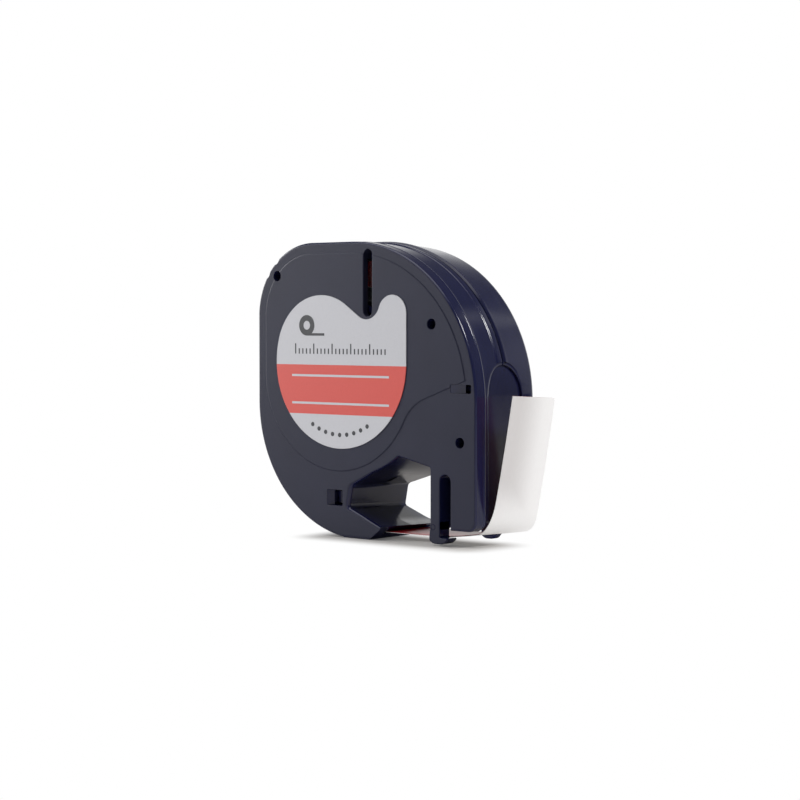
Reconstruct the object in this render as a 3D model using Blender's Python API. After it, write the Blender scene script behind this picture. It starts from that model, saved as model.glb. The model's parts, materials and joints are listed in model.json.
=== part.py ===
"""Label tape cassette: a two-part case round a wound roll of label tape.

Metres, +Z up, front face towards -Y. The drawing origin is the roll axis; the root
empty carries everything so that the part stands on z = 0.
"""
import math

import bmesh
import bpy

# Tape, as wound and as pulled out
TAPE_WIDTH = 0.0120
TAPE_THICKNESS = 0.00020
ROLL_RADIUS = 0.0207
CORE_RADIUS = 0.0150
CORE_WALL = 0.0024
SLIP_DISC_THICKNESS = 0.0003
TAPE_TRAVEL = 0.0075

# Fits
GAP = 0.0003
RUNNING_CLEARANCE = 0.0003
ROLL_CLEARANCE = 0.0005
TAPE_SIDE_ROOM = 0.0006

# Case walls and depth
PLATE = 0.0014
PANEL_RELIEF = 0.0003
SIDE_ROOM = 0.0026
WALL = 0.0013
DRUM_WALL = 0.0014
LIP_THICKNESS = 0.0010
PARTING_OFFSET = 0.0001

# Case outline round the drum
OUTLINE_MARGIN = 0.00155
CORNER_RADIUS = 0.0149
RIGHT_REACH = 0.0331
RIGHT_ARC_RADIUS = 0.03145
LOWER_ARC_RADIUS = 0.0273
LOWER_ARC_DIP = 0.0002
BOTTOM_DROP = 0.03535
STANDING_FLAT = 0.0070
STANDING_SETBACK = 0.0031
STANDING_HEIGHT = 0.0007
LEG_TAPE_ROOM = 0.0018
LEG_CORNER_RADIUS = 0.0020

# Rim sections
EDGE_ROUND = 0.0005
BAND_DEPTH = 0.0032
BAND_STEP = 0.0002
WAIST_END = 0.0083
BEAD_WIDTH = 0.0009
BEAD_HEIGHT = 0.00025
REAR_DRAFT = 0.0005
REAR_ROUND = 0.0012

# Raised drum panel of the front face
PANEL_RIM = 0.0022
PANEL_SHIFT_X = -0.00213
PANEL_SHIFT_Z = -0.00223
PANEL_BLEND_RADIUS = 0.0100
PANEL_BLEND_START = 332.0
PANEL_BLEND_END = 114.0
PANEL_RIGHT_START = 8.0

# Print-head opening
LEG_WIDTH = 0.01105
OPENING_LEFT = -0.0003
OPENING_LEAN = 0.0009
OPENING_WALL_LOW = -0.0295
OPENING_WALL_HIGH = -0.0246
OPENING_RIGHT_TOP = -0.0199
OPENING_ARC_START = -52.5
OPENING_ARC_END = -72.0
OPENING_BEVEL = 0.0010
OPENING_BEVEL_DEPTH = 0.0007
OPENING_BEVEL_LIFT = 0.0004
OPENING_DRAFT = 0.0004
OPENING_WALL_SAG = 0.0006
OPENING_FLOOR_SAG = 0.0005
OPENING_MOUTH_SAG = 0.0001
OPENING_ROOF_SAG = 0.0019
MOUTH_X = 0.0092
MOUTH_RISE = 0.0009
MOUTH_BEVEL = 0.00435

# Leg slot and feet
LEG_SLOT_WIDTH = 0.0027
LEG_POST_WIDTH = 0.0022
LEG_SLOT_TOP = -0.0214
FOOT_DEPTH = 0.0033
FOOT_SWELL = 0.0004
FOOT_CHAMFER = 0.0006
FOOT_SOLE = 0.0024
FOOT_ROOT = 0.0020
FOOT_LIFT = 0.0004
TOE_REACH = 0.0018
TOE_RISE = 0.0002
TOE_THICKNESS = 0.0004

# Window slot over the roll
WINDOW_X = 0.0060
WINDOW_WIDTH = 0.0022
WINDOW_LOW = 0.0092
WINDOW_HIGH = 0.0226

# Pins, hooks and hub
SHOULDER_PIN_INSET = 0.00235
SHOULDER_PIN_ANGLE = 138.7
DRUM_PIN_ANGLE = 19.1
LEG_PIN_INSET = 0.00387
LEG_PIN_Z = -0.0151
PIN_RADIUS = 0.00075
BOSS_WALL = 0.0013
PIN_RECESS = 0.0022
SIDE_HOOK_INSET = 0.00365
SIDE_HOOK_Z = -0.00475
SIDE_HOOK_SIZE = (0.0050, 0.0017)
ARM_HOOK_INSET = 0.00255
ARM_HOOK_RISE = 0.0021
ARM_HOOK_SIZE = (0.0042, 0.0032)
HOOK_ROOM = 0.0004
HOOK_RECESS = 0.0008
HOOK_NOSE = 0.0010
HOOK_LEDGE = 0.0018
HOOK_FRAME = 0.0005
HOOK_FRAME_DEPTH = 0.0030
HUB_WALL = 0.0012

# Guide roller at the turn of the tape
ROLLER_INSET = 0.0151
ROLLER_LIFT = 0.0063
ROLLER_RADIUS = 0.0022
ROLLER_PIN_RADIUS = 0.0010
ROLLER_ROOM = 0.0008
CHANNEL_ROOF = 0.0005
CHANNEL_ROOF_RISE = 0.0062

# Grip notches on the shoulder
NOTCH_COUNT = 3
NOTCH_RADIUS = 0.0010
NOTCH_DEPTH = 0.0005
NOTCH_FIRST_ANGLE = 122.0
NOTCH_PITCH_ANGLE = 10.0

# Tape tail curling up beside the case, with a slight skew from front edge to back edge
TAIL_FRONT = ((0.0700, 9.3), (0.0039, 40.7), (0.0100, 18.0), (0.0170, 10.0), (0.5000, 2.3))
TAIL_FRONT_LEAD = 0.0142
TAIL_BACK = ((0.0700, 9.3), (0.0030, 50.7), (0.0060, 12.0), (0.0060, 6.0), (0.4030, 3.3))
TAIL_BACK_LEAD = 0.0113
TAIL_STEPS = (4, 7, 3, 2, 5)
TAIL_HIDDEN = 0.0020

# Relief beside the exit for the tape
EXIT_RECESS_DEPTH = 0.0008
EXIT_RECESS_HALF = 0.0068
EXIT_RECESS_RISE = 0.0070
EXIT_RECESS_SPRING = -0.0070
EXIT_CHAMFER = 0.0020

# Front label: a round patch with a lobe and an ear beside the window slot
LABEL_RADIUS = 0.01737
LABEL_X = -0.00129
LABEL_Z = -0.00006
LABEL_LOBE_RADIUS = 0.01215
LABEL_LOBE_ANGLE = 164.4
LABEL_EAR_RADIUS = 0.0036
LABEL_EAR_RISE = 0.0099
LABEL_NOTCH_RADIUS = 0.0035
LABEL_WINDOW_ROOM = 0.0006
LABEL_THICKNESS = 0.00012
LABEL_GAP = 0.00003

# Tools run past the faces they cut, and joined bodies run into each other
OVERCUT = 0.0010
JOIN = 0.0004

# Derived sizes
DEPTH = TAPE_WIDTH + 2.0 * (PLATE + SIDE_ROOM)
HALF = DEPTH / 2.0
CHAMBER_RADIUS = ROLL_RADIUS + ROLL_CLEARANCE
DRUM_RADIUS = CHAMBER_RADIUS + DRUM_WALL
DRUM_REACH = DRUM_RADIUS + OUTLINE_MARGIN
PARTING = HALF + PARTING_OFFSET
TAPE_LEVEL = -(BOTTOM_DROP - LIP_THICKNESS - GAP - TAPE_THICKNESS / 2.0)
LEG_DROP = -TAPE_LEVEL - LEG_TAPE_ROOM
OPENING_RIGHT = RIGHT_REACH - LEG_WIDTH
LEG_SLOT_LEFT = OPENING_RIGHT + LEG_POST_WIDTH
ROLLER_X = ROLLER_INSET - DRUM_REACH
ROLLER_Z = TAPE_LEVEL + ROLLER_LIFT
PIN_HOLE_RADIUS = PIN_RADIUS + RUNNING_CLEARANCE
PIN_BOSS_RADIUS = PIN_HOLE_RADIUS + BOSS_WALL
CORE_BORE = CORE_RADIUS - CORE_WALL
HUB_RADIUS = CORE_BORE - RUNNING_CLEARANCE
CHANNEL_HALF = TAPE_WIDTH / 2.0 + TAPE_SIDE_ROOM
ARC_STEP = math.radians(6.0)


def clear_scene():
    """Start from an empty scene."""
    for item in list(bpy.data.objects):
        bpy.data.objects.remove(item, do_unlink=True)


def plastic(name, colour, roughness):
    """Plain Principled material in a linear colour."""
    material = bpy.data.materials.new(name)
    material.use_nodes = True
    shader = material.node_tree.nodes["Principled BSDF"]
    shader.inputs["Base Color"].default_value = (*colour, 1.0)
    shader.inputs["Roughness"].default_value = roughness
    material.diffuse_color = (*colour, 1.0)
    return material


def arc(centre, radius, start, end, step=ARC_STEP):
    """Points along an arc from start to end, both in degrees."""
    sweep = math.radians(end - start)
    count = max(2, int(math.ceil(abs(sweep) / step)))
    return [
        (
            centre[0] + radius * math.cos(math.radians(start) + sweep * i / count),
            centre[1] + radius * math.sin(math.radians(start) + sweep * i / count),
        )
        for i in range(count + 1)
    ]


def circle(centre, radius, count=48):
    """Closed ring of points, anticlockwise from the front."""
    return [
        (
            centre[0] + radius * math.cos(2.0 * math.pi * i / count),
            centre[1] + radius * math.sin(2.0 * math.pi * i / count),
        )
        for i in range(count)
    ]


def inset(points, distance):
    """Move every side of an anticlockwise outline inwards by the distance."""
    count = len(points)
    result = []
    for i in range(count):
        before, here, after = points[i - 1], points[i], points[(i + 1) % count]
        d0 = (here[0] - before[0], here[1] - before[1])
        d1 = (after[0] - here[0], after[1] - here[1])
        l0 = math.hypot(*d0)
        l1 = math.hypot(*d1)
        n0 = (-d0[1] / l0, d0[0] / l0)
        n1 = (-d1[1] / l1, d1[0] / l1)
        share = 1.0 + n0[0] * n1[0] + n0[1] * n1[1]
        result.append((
            here[0] + distance * (n0[0] + n1[0]) / share,
            here[1] + distance * (n0[1] + n1[1]) / share,
        ))
    return result


def solid(name, sections):
    """Closed body skinned through sections of (depth, outline), front to back."""
    mesh = bpy.data.meshes.new(name)
    body = bmesh.new()
    rings = [
        [body.verts.new((x, depth - HALF, z)) for x, z in outline]
        for depth, outline in sections
    ]
    body.faces.new(rings[0])
    body.faces.new(list(reversed(rings[-1])))
    for near, far in zip(rings, rings[1:]):
        count = len(near)
        for i in range(count):
            j = (i + 1) % count
            body.faces.new((near[j], near[i], far[i], far[j]))
    bmesh.ops.recalc_face_normals(body, faces=body.faces)
    body.to_mesh(mesh)
    body.free()
    item = bpy.data.objects.new(name, mesh)
    bpy.context.scene.collection.objects.link(item)
    return item


def prism(name, outline, start, end):
    """Straight body of one outline between two depths."""
    return solid(name, [(start, outline), (end, outline)])


def combine(item, tool, operation):
    """Join, cut or keep the common part, then drop the tool."""
    step = item.modifiers.new(operation.lower(), "BOOLEAN")
    step.operation = operation
    step.solver = "EXACT"
    step.object = tool
    graph = bpy.context.evaluated_depsgraph_get()
    mesh = bpy.data.meshes.new_from_object(item.evaluated_get(graph))
    item.modifiers.clear()
    old = item.data
    item.data = mesh
    bpy.data.meshes.remove(old)
    bpy.data.objects.remove(tool, do_unlink=True)


def cut(item, outline, start, end):
    """Cut a prism out of the body."""
    combine(item, prism("tool", outline, start, end), "DIFFERENCE")


def add(item, outline, start, end):
    """Add a prism to the body."""
    combine(item, prism("tool", outline, start, end), "UNION")


def finish(item, material, parent):
    """Tidy the mesh and hand the piece its material and parent."""
    body = bmesh.new()
    body.from_mesh(item.data)
    bmesh.ops.remove_doubles(body, verts=body.verts, dist=0.000005)
    bmesh.ops.dissolve_degenerate(body, edges=body.edges, dist=0.000002)
    bmesh.ops.triangulate(body, faces=[f for f in body.faces if len(f.verts) > 4])
    body.to_mesh(item.data)
    body.free()
    item.data.materials.clear()
    item.data.materials.append(material)
    offset = parent.matrix_world.translation
    item.data.transform(item.matrix_world)
    for vertex in item.data.vertices:
        vertex.co = vertex.co - (offset - ROOT_SHIFT)
    item.parent = parent
    item.matrix_parent_inverse.identity()
    item.location = (0.0, 0.0, 0.0)


def joint_axis(name, x, z, parent):
    """Empty on an axis that runs along the depth."""
    empty = bpy.data.objects.new(name, None)
    empty.empty_display_size = ROLLER_RADIUS
    bpy.context.scene.collection.objects.link(empty)
    empty.parent = parent
    empty.location = (x, 0.0, z)
    bpy.context.view_layer.update()
    return empty


def polar(centre, radius, degrees):
    """Point at a distance and angle from a centre."""
    angle = math.radians(degrees)
    return (centre[0] + radius * math.cos(angle), centre[1] + radius * math.sin(angle))


def right_arc_centre():
    """Centre of the long arc over the top and right side."""
    return (RIGHT_REACH - RIGHT_ARC_RADIUS, DRUM_REACH - RIGHT_ARC_RADIUS)


def lower_arc_centre():
    """Centre of the arc from the left side to the standing flat."""
    return (LOWER_ARC_RADIUS - DRUM_REACH, LOWER_ARC_RADIUS - BOTTOM_DROP - LOWER_ARC_DIP)


def corner_centre():
    """Centre of the shoulder at the top left."""
    return (CORNER_RADIUS - DRUM_REACH, DRUM_REACH - CORNER_RADIUS)


def pin_places():
    """Pins on the shoulder, beside the drum and in the leg."""
    return (
        polar(corner_centre(), CORNER_RADIUS - SHOULDER_PIN_INSET, SHOULDER_PIN_ANGLE),
        polar((0.0, 0.0), CHAMBER_RADIUS + PIN_BOSS_RADIUS, DRUM_PIN_ANGLE),
        (RIGHT_REACH - LEG_PIN_INSET, LEG_PIN_Z),
    )


def hook_windows():
    """Snap-hook windows as (x, z, width, height)."""
    return (
        (RIGHT_REACH - SIDE_HOOK_INSET, SIDE_HOOK_Z, *SIDE_HOOK_SIZE),
        (OPENING_LEFT - ARM_HOOK_INSET, OPENING_WALL_LOW + ARM_HOOK_RISE, *ARM_HOOK_SIZE),
    )


def level_angle(centre, radius, level):
    """Angle on the left half of a circle where it meets a level, in degrees."""
    return 180.0 + math.degrees(math.asin((centre[1] - level) / radius))


def case_outline():
    """Outer outline of the case seen from the front, anticlockwise."""
    low = lower_arc_centre()
    turn = max(LEG_CORNER_RADIUS, REAR_DRAFT + REAR_ROUND + GAP)
    leg = (RIGHT_REACH - turn, turn - LEG_DROP)
    points = arc(low, LOWER_ARC_RADIUS, 180.0, level_angle(low, LOWER_ARC_RADIUS, -BOTTOM_DROP))
    points += [(MOUTH_X, -BOTTOM_DROP), (OPENING_RIGHT - OVERCUT, -LEG_DROP)]
    points += arc(leg, turn, 270.0, 360.0, math.radians(18.0))
    points += arc(right_arc_centre(), RIGHT_ARC_RADIUS, 0.0, 90.0, math.radians(4.0))
    points += arc(corner_centre(), CORNER_RADIUS, 90.0, 180.0)
    return points


def opening_outline(side, wall, bow, mouth, roof):
    """Section of the print-head opening with its wall, floor and roof moved by the given amounts."""
    below = -BOTTOM_DROP - OVERCUT
    low = (OPENING_LEFT + side, OPENING_WALL_LOW + wall)
    lip = (MOUTH_X, TAPE_LEVEL + MOUTH_RISE + mouth)
    middle = ((low[0] + 2.0 * lip[0]) / 3.0, (low[1] + 2.0 * lip[1]) / 3.0 + bow)
    points = [(low[0] + OPENING_LEAN, OPENING_WALL_HIGH + roof / 2.0), low, middle, lip]
    points += [(MOUTH_X - MOUTH_BEVEL, below), (OPENING_RIGHT, below), (OPENING_RIGHT, OPENING_RIGHT_TOP + roof)]
    curve = arc((0.0, 0.0), DRUM_RADIUS, OPENING_ARC_START, OPENING_ARC_END)
    return points + [(x, z + roof) for x, z in curve]


def opening_tool():
    """Print-head opening: bevelled at the front, wider and lower towards the back, open to the floor."""
    lift = OPENING_BEVEL_LIFT
    outer = opening_outline(0.0, 0.0, 0.0, 0.0, 0.0)
    inner = opening_outline(OPENING_BEVEL, lift, 0.0, lift, -lift)
    back = opening_outline(
        -OPENING_DRAFT, -OPENING_WALL_SAG, -OPENING_FLOOR_SAG, -OPENING_MOUTH_SAG, -OPENING_ROOF_SAG)
    return solid("tool", [
        (-OVERCUT, outer),
        (PANEL_RELIEF, outer),
        (PANEL_RELIEF + OPENING_BEVEL_DEPTH, inner),
        (DEPTH, back),
        (DEPTH + OVERCUT, back),
    ])


def panel_outline():
    """Raised drum panel: round below, following the rim above, blended at the lower right."""
    centre = (PANEL_SHIFT_X, PANEL_SHIFT_Z)
    radius = DRUM_REACH - PANEL_RIM + PANEL_SHIFT_X
    blend = polar(centre, radius + PANEL_BLEND_RADIUS, PANEL_BLEND_START)
    points = arc(centre, radius, 180.0, PANEL_BLEND_START)
    points += arc(blend, PANEL_BLEND_RADIUS, PANEL_BLEND_START - 180.0, PANEL_BLEND_END)[1:]
    points += arc(right_arc_centre(), RIGHT_ARC_RADIUS - PANEL_RIM, PANEL_RIGHT_START, 90.0)
    points += arc(corner_centre(), CORNER_RADIUS - PANEL_RIM, 90.0, 180.0)
    return points


def right_pocket():
    """Hollow between drum, right wall and leg."""
    arc_centre = right_arc_centre()
    wall = WALL + EXIT_RECESS_DEPTH
    left = LEG_SLOT_LEFT + LEG_SLOT_WIDTH + WALL
    right = RIGHT_REACH - wall
    floor = WALL - LEG_DROP
    points = arc((0.0, 0.0), DRUM_RADIUS, 44.0, -32.0)
    points += [(OPENING_RIGHT + WALL, OPENING_RIGHT_TOP + 2.0 * WALL)]
    points += [(left, LEG_SLOT_TOP + 2.0 * WALL), (left, floor)]
    points += [(right, floor), (right, arc_centre[1])]
    points += arc(arc_centre, RIGHT_ARC_RADIUS - wall, 3.0, 56.0)
    return points


def tape_channel():
    """Hollow that carries the tape from the drum past the roller to the mouth."""
    low = lower_arc_centre()
    radius = LOWER_ARC_RADIUS - LIP_THICKNESS
    floor = LIP_THICKNESS - BOTTOM_DROP
    roof = TAPE_LEVEL + CHANNEL_ROOF
    end = MOUTH_X + 2.0 * OVERCUT
    beside = ROLLER_RADIUS + ROLLER_ROOM
    points = arc(low, radius, 176.0, level_angle(low, radius, floor))
    points += [(end, floor), (end, roof), (MOUTH_X - CHANNEL_ROOF_RISE, roof)]
    points += [(OPENING_LEFT - CHANNEL_ROOF_RISE, OPENING_WALL_LOW - LIP_THICKNESS)]
    points += [(ROLLER_X + beside, ROLLER_Z), (ROLLER_X + beside / 2.0, ROLLER_Z + beside)]
    points += [polar((0.0, 0.0), CORE_RADIUS, 233.0), polar((0.0, 0.0), CORE_RADIUS, 195.0)]
    return points


def leg_slot():
    """Slot in the leg, open at the bottom."""
    radius = LEG_SLOT_WIDTH / 2.0
    right = LEG_SLOT_LEFT + LEG_SLOT_WIDTH
    floor = -LEG_DROP - OVERCUT
    points = [(LEG_SLOT_LEFT, floor), (right, floor)]
    points += arc((LEG_SLOT_LEFT + radius, LEG_SLOT_TOP - radius), radius, 0.0, 180.0, math.radians(20.0))
    return points


def foot_outline():
    """Foot of the leg post with its toe beside the tape."""
    left = OPENING_RIGHT - FOOT_SWELL
    sole = FOOT_LIFT - BOTTOM_DROP
    toe = TAPE_LEVEL + TOE_RISE
    top = FOOT_ROOT - LEG_DROP
    return [
        (OPENING_RIGHT, top),
        (left, toe),
        (left, sole + FOOT_CHAMFER),
        (left + FOOT_SWELL + FOOT_CHAMFER, sole),
        (left + FOOT_SWELL + FOOT_CHAMFER + FOOT_SOLE, sole),
        (LEG_SLOT_LEFT + TOE_REACH, toe - TOE_THICKNESS),
        (LEG_SLOT_LEFT + TOE_REACH, toe),
        (LEG_SLOT_LEFT, toe),
        (LEG_SLOT_LEFT, top),
    ]


def standing_pad():
    """Flat under the arm that the cassette stands on."""
    right = MOUTH_X - STANDING_SETBACK
    left = right - STANDING_FLAT
    top = STANDING_HEIGHT - BOTTOM_DROP
    return [(left, -BOTTOM_DROP), (right, -BOTTOM_DROP), (right, top), (left, top)]


def exit_chamfer():
    """Corner taken off the leg where the tape turns up."""
    low = -LEG_DROP - OVERCUT
    right = RIGHT_REACH + OVERCUT
    return [(RIGHT_REACH - EXIT_CHAMFER, low), (right, low), (right, EXIT_CHAMFER - LEG_DROP)]


def exit_recess():
    """Arch-topped relief in the right wall, as a tool running along X."""
    floor = -LEG_DROP - OVERCUT
    points = [(HALF - EXIT_RECESS_HALF, floor), (HALF + EXIT_RECESS_HALF, floor)]
    points += [
        (HALF + EXIT_RECESS_HALF * math.cos(math.radians(angle)),
         EXIT_RECESS_SPRING + EXIT_RECESS_RISE * math.sin(math.radians(angle)))
        for angle in range(0, 181, 12)
    ]
    tool = prism("tool", points, 0.0, EXIT_RECESS_DEPTH + OVERCUT)
    for vertex in tool.data.vertices:
        x, y, z = vertex.co
        vertex.co = (RIGHT_REACH - EXIT_RECESS_DEPTH + (y + HALF), x - HALF, z)
    body = bmesh.new()
    body.from_mesh(tool.data)
    bmesh.ops.recalc_face_normals(body, faces=body.faces)
    body.to_mesh(tool.data)
    body.free()
    return tool


def box(x, z, width, height):
    """Rectangle centred on a point."""
    return [
        (x - width / 2.0, z - height / 2.0),
        (x + width / 2.0, z - height / 2.0),
        (x + width / 2.0, z + height / 2.0),
        (x - width / 2.0, z + height / 2.0),
    ]


def window_outline():
    """Slot that shows how much tape is left."""
    radius = WINDOW_WIDTH / 2.0
    points = arc((WINDOW_X, WINDOW_LOW + radius), radius, 180.0, 360.0, math.radians(20.0))
    points += arc((WINDOW_X, WINDOW_HIGH - radius), radius, 0.0, 180.0, math.radians(20.0))
    return points


def cut_common(item, start, end, plate_start, plate_end):
    """Hollows that both halves of the case share."""
    cut(item, circle((0.0, 0.0), CHAMBER_RADIUS, 64), plate_start, plate_end)
    cut(item, right_pocket(), plate_start, plate_end)
    channel_start = max(plate_start, HALF - CHANNEL_HALF)
    channel_end = min(plate_end, HALF + CHANNEL_HALF)
    cut(item, tape_channel(), channel_start, channel_end)
    combine(item, opening_tool(), "DIFFERENCE")
    cut(item, leg_slot(), start, end)
    combine(item, exit_recess(), "DIFFERENCE")
    cut(item, exit_chamfer(), HALF - EXIT_RECESS_HALF, HALF + EXIT_RECESS_HALF)
    reach = CORNER_RADIUS + NOTCH_RADIUS - NOTCH_DEPTH
    for i in range(NOTCH_COUNT):
        place = polar(corner_centre(), reach, NOTCH_FIRST_ANGLE + i * NOTCH_PITCH_ANGLE)
        cut(item, circle(place, NOTCH_RADIUS, 16), start, end)


def make_front_cover():
    """Front half: labelled face, window slot, pin holes, hook windows, leg post and foot."""
    outline = case_outline()
    base = PANEL_RELIEF
    back = PARTING - GAP / 2.0
    sections = [
        (base, inset(outline, EDGE_ROUND)),
        (base + 0.3 * EDGE_ROUND, inset(outline, 0.3 * EDGE_ROUND)),
        (base + EDGE_ROUND, outline),
        (BAND_DEPTH, outline),
        (BAND_DEPTH + BAND_STEP, inset(outline, BAND_STEP)),
        (WAIST_END, inset(outline, BAND_STEP)),
        (WAIST_END + BAND_STEP, outline),
        (back, outline),
    ]
    cover = solid("front_cover", sections)
    add(cover, panel_outline(), 0.0, PLATE - JOIN)
    cut_common(cover, -OVERCUT, DEPTH, PLATE, DEPTH)
    for place in pin_places()[1:]:
        add(cover, circle(place, PIN_BOSS_RADIUS, 24), PLATE - JOIN, back)
    for place in pin_places():
        cut(cover, circle(place, PIN_HOLE_RADIUS, 20), -OVERCUT, DEPTH)
    for x, z, width, height in hook_windows():
        frame = box(x, z, width + 2.0 * HOOK_FRAME, height + 2.0 * HOOK_FRAME)
        add(cover, frame, PLATE - JOIN, HOOK_FRAME_DEPTH)
        cut(cover, box(x, z, width, height), -OVERCUT, HOOK_LEDGE)
        cut(cover, box(x + HOOK_NOSE / 2.0, z, width - HOOK_NOSE, height), 0.0, DEPTH)
    cut(cover, window_outline(), -OVERCUT, PLATE + OVERCUT)
    add(cover, foot_outline(), base, FOOT_DEPTH)
    add(cover, standing_pad(), base + EDGE_ROUND, back)
    return cover


def make_rear_shell():
    """Rear half: bead at the parting line, hub, pins, snap hooks, roller pin and rear foot."""
    outline = case_outline()
    front = PARTING + GAP / 2.0
    back = DEPTH - PLATE
    sections = [
        (front, inset(outline, BAND_STEP)),
        (front + BAND_STEP, inset(outline, -BEAD_HEIGHT)),
        (front + BEAD_WIDTH, inset(outline, -BEAD_HEIGHT)),
        (front + BEAD_WIDTH + BEAD_HEIGHT, outline),
        (DEPTH - REAR_ROUND, inset(outline, REAR_DRAFT)),
        (DEPTH - 0.5 * REAR_ROUND, inset(outline, REAR_DRAFT + 0.13 * REAR_ROUND)),
        (DEPTH - 0.13 * REAR_ROUND, inset(outline, REAR_DRAFT + 0.5 * REAR_ROUND)),
        (DEPTH, inset(outline, REAR_DRAFT + REAR_ROUND)),
    ]
    shell = solid("rear_shell", sections)
    cut_common(shell, -OVERCUT, DEPTH + OVERCUT, 0.0, back)
    hub = prism("tool", circle((0.0, 0.0), HUB_RADIUS), PLATE + 2.0 * GAP, back + JOIN)
    cut(hub, circle((0.0, 0.0), HUB_RADIUS - HUB_WALL), 0.0, back)
    combine(shell, hub, "UNION")
    for place in pin_places():
        add(shell, circle(place, PIN_RADIUS, 20), PIN_RECESS, back + JOIN)
    for x, z, width, height in hook_windows():
        slim = height - 2.0 * HOOK_ROOM
        arm = width - HOOK_NOSE - 2.0 * HOOK_ROOM
        add(shell, box(x + HOOK_NOSE / 2.0, z, arm, slim), HOOK_RECESS, back + JOIN)
        nose = box(x - width / 2.0 + HOOK_ROOM + HOOK_NOSE, z, 2.0 * HOOK_NOSE, slim)
        add(shell, nose, HOOK_RECESS, HOOK_LEDGE - GAP)
    pin_front = HALF - CHANNEL_HALF + GAP
    add(shell, circle((ROLLER_X, ROLLER_Z), ROLLER_PIN_RADIUS, 20), pin_front, back + JOIN)
    add(shell, foot_outline(), DEPTH - FOOT_DEPTH, DEPTH - REAR_ROUND)
    add(shell, standing_pad(), front, DEPTH - REAR_ROUND)
    under = box(0.0, -BOTTOM_DROP - OVERCUT, 4.0 * BOTTOM_DROP, 2.0 * OVERCUT)
    cut(shell, under, 0.0, DEPTH + OVERCUT)
    return shell


def ring(name, outer, inner, start, end, count=48):
    """Straight ring about the roll axis."""
    item = prism(name, circle((0.0, 0.0), outer, count), start, end)
    cut(item, circle((0.0, 0.0), inner, count), start - OVERCUT, end + OVERCUT)
    return item


def ribbon_outline(path):
    """Thin closed outline on both sides of a path of (x, z) points."""
    half = TAPE_THICKNESS / 2.0
    left = []
    right = []
    for i, here in enumerate(path):
        before = path[max(i - 1, 0)]
        after = path[min(i + 1, len(path) - 1)]
        length = math.hypot(after[0] - before[0], after[1] - before[1])
        normal = (-(after[1] - before[1]) / length, (after[0] - before[0]) / length)
        left.append((here[0] + half * normal[0], here[1] + half * normal[1]))
        right.append((here[0] - half * normal[0], here[1] - half * normal[1]))
    return right + list(reversed(left))


def feed_path():
    """Centre line of the inner tape, from the roll round the guide roller."""
    lift = TAPE_THICKNESS / 2.0 + GAP
    big = ROLL_RADIUS + lift
    small = ROLLER_RADIUS + lift
    length = math.hypot(ROLLER_X, ROLLER_Z)
    towards = math.degrees(math.atan2(ROLLER_Z, ROLLER_X)) % 360.0
    leave = towards - math.degrees(math.acos((big - small) / length))
    target = (strip_start() - GAP, TAPE_LEVEL)
    gap = (target[0] - ROLLER_X, target[1] - ROLLER_Z)
    reach = math.hypot(*gap)
    finish_angle = math.degrees(math.atan2(gap[1], gap[0])) % 360.0 - math.degrees(math.acos(small / reach))
    points = [(big * math.cos(math.radians(leave)), big * math.sin(math.radians(leave)))]
    points += arc((ROLLER_X, ROLLER_Z), small, leave, finish_angle, math.radians(10.0))
    points.append(target)
    return points


def strip_start():
    """Hidden end of the free tape inside the arm."""
    return MOUTH_X - TAPE_TRAVEL - TAIL_HIDDEN


def strip_path(turns, lead):
    """Centre line of one edge of the free tape: straight through the mouth, then curling up."""
    points = [(strip_start(), TAPE_LEVEL), (RIGHT_REACH - lead, TAPE_LEVEL)]
    heading = 0.0
    for (radius, turn), count in zip(turns, TAIL_STEPS):
        bend = radius * math.copysign(1.0, turn)
        place = points[-1]
        centre = (
            place[0] - bend * math.sin(math.radians(heading)),
            place[1] + bend * math.cos(math.radians(heading)),
        )
        for i in range(1, count + 1):
            angle = math.radians(heading + turn * i / count)
            points.append((centre[0] + bend * math.sin(angle), centre[1] - bend * math.cos(angle)))
        heading += turn
    return points


def label_outline():
    """Face label, anticlockwise: circle, ear, notch round the window slot, lobe."""
    centre = (LABEL_X, LABEL_Z)
    ear = (LABEL_X + LABEL_RADIUS - LABEL_EAR_RADIUS, LABEL_Z + LABEL_EAR_RISE)
    notch_z = WINDOW_LOW - LABEL_WINDOW_ROOM + LABEL_NOTCH_RADIUS
    reach = LABEL_EAR_RADIUS + LABEL_NOTCH_RADIUS
    notch = (ear[0] - math.sqrt(reach ** 2 - (notch_z - ear[1]) ** 2), notch_z)
    lobe = polar(centre, LABEL_RADIUS - LABEL_LOBE_RADIUS, LABEL_LOBE_ANGLE)
    ear_end = math.degrees(math.atan2(notch[1] - ear[1], notch[0] - ear[0]))
    span = (notch[0] - lobe[0], notch[1] - lobe[1])
    lean = math.degrees(math.acos((LABEL_LOBE_RADIUS + LABEL_NOTCH_RADIUS) / math.hypot(*span)))
    lobe_start = math.degrees(math.atan2(span[1], span[0])) + lean
    points = arc(centre, LABEL_RADIUS, LABEL_LOBE_ANGLE, 360.0)
    points += arc(ear, LABEL_EAR_RADIUS, 0.0, ear_end, math.radians(12.0))
    points += arc(notch, LABEL_NOTCH_RADIUS, ear_end + 180.0, lobe_start + 180.0, math.radians(12.0))[1:]
    points += arc(lobe, LABEL_LOBE_RADIUS, lobe_start, LABEL_LOBE_ANGLE)[:-1]
    return points


clear_scene()

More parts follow.
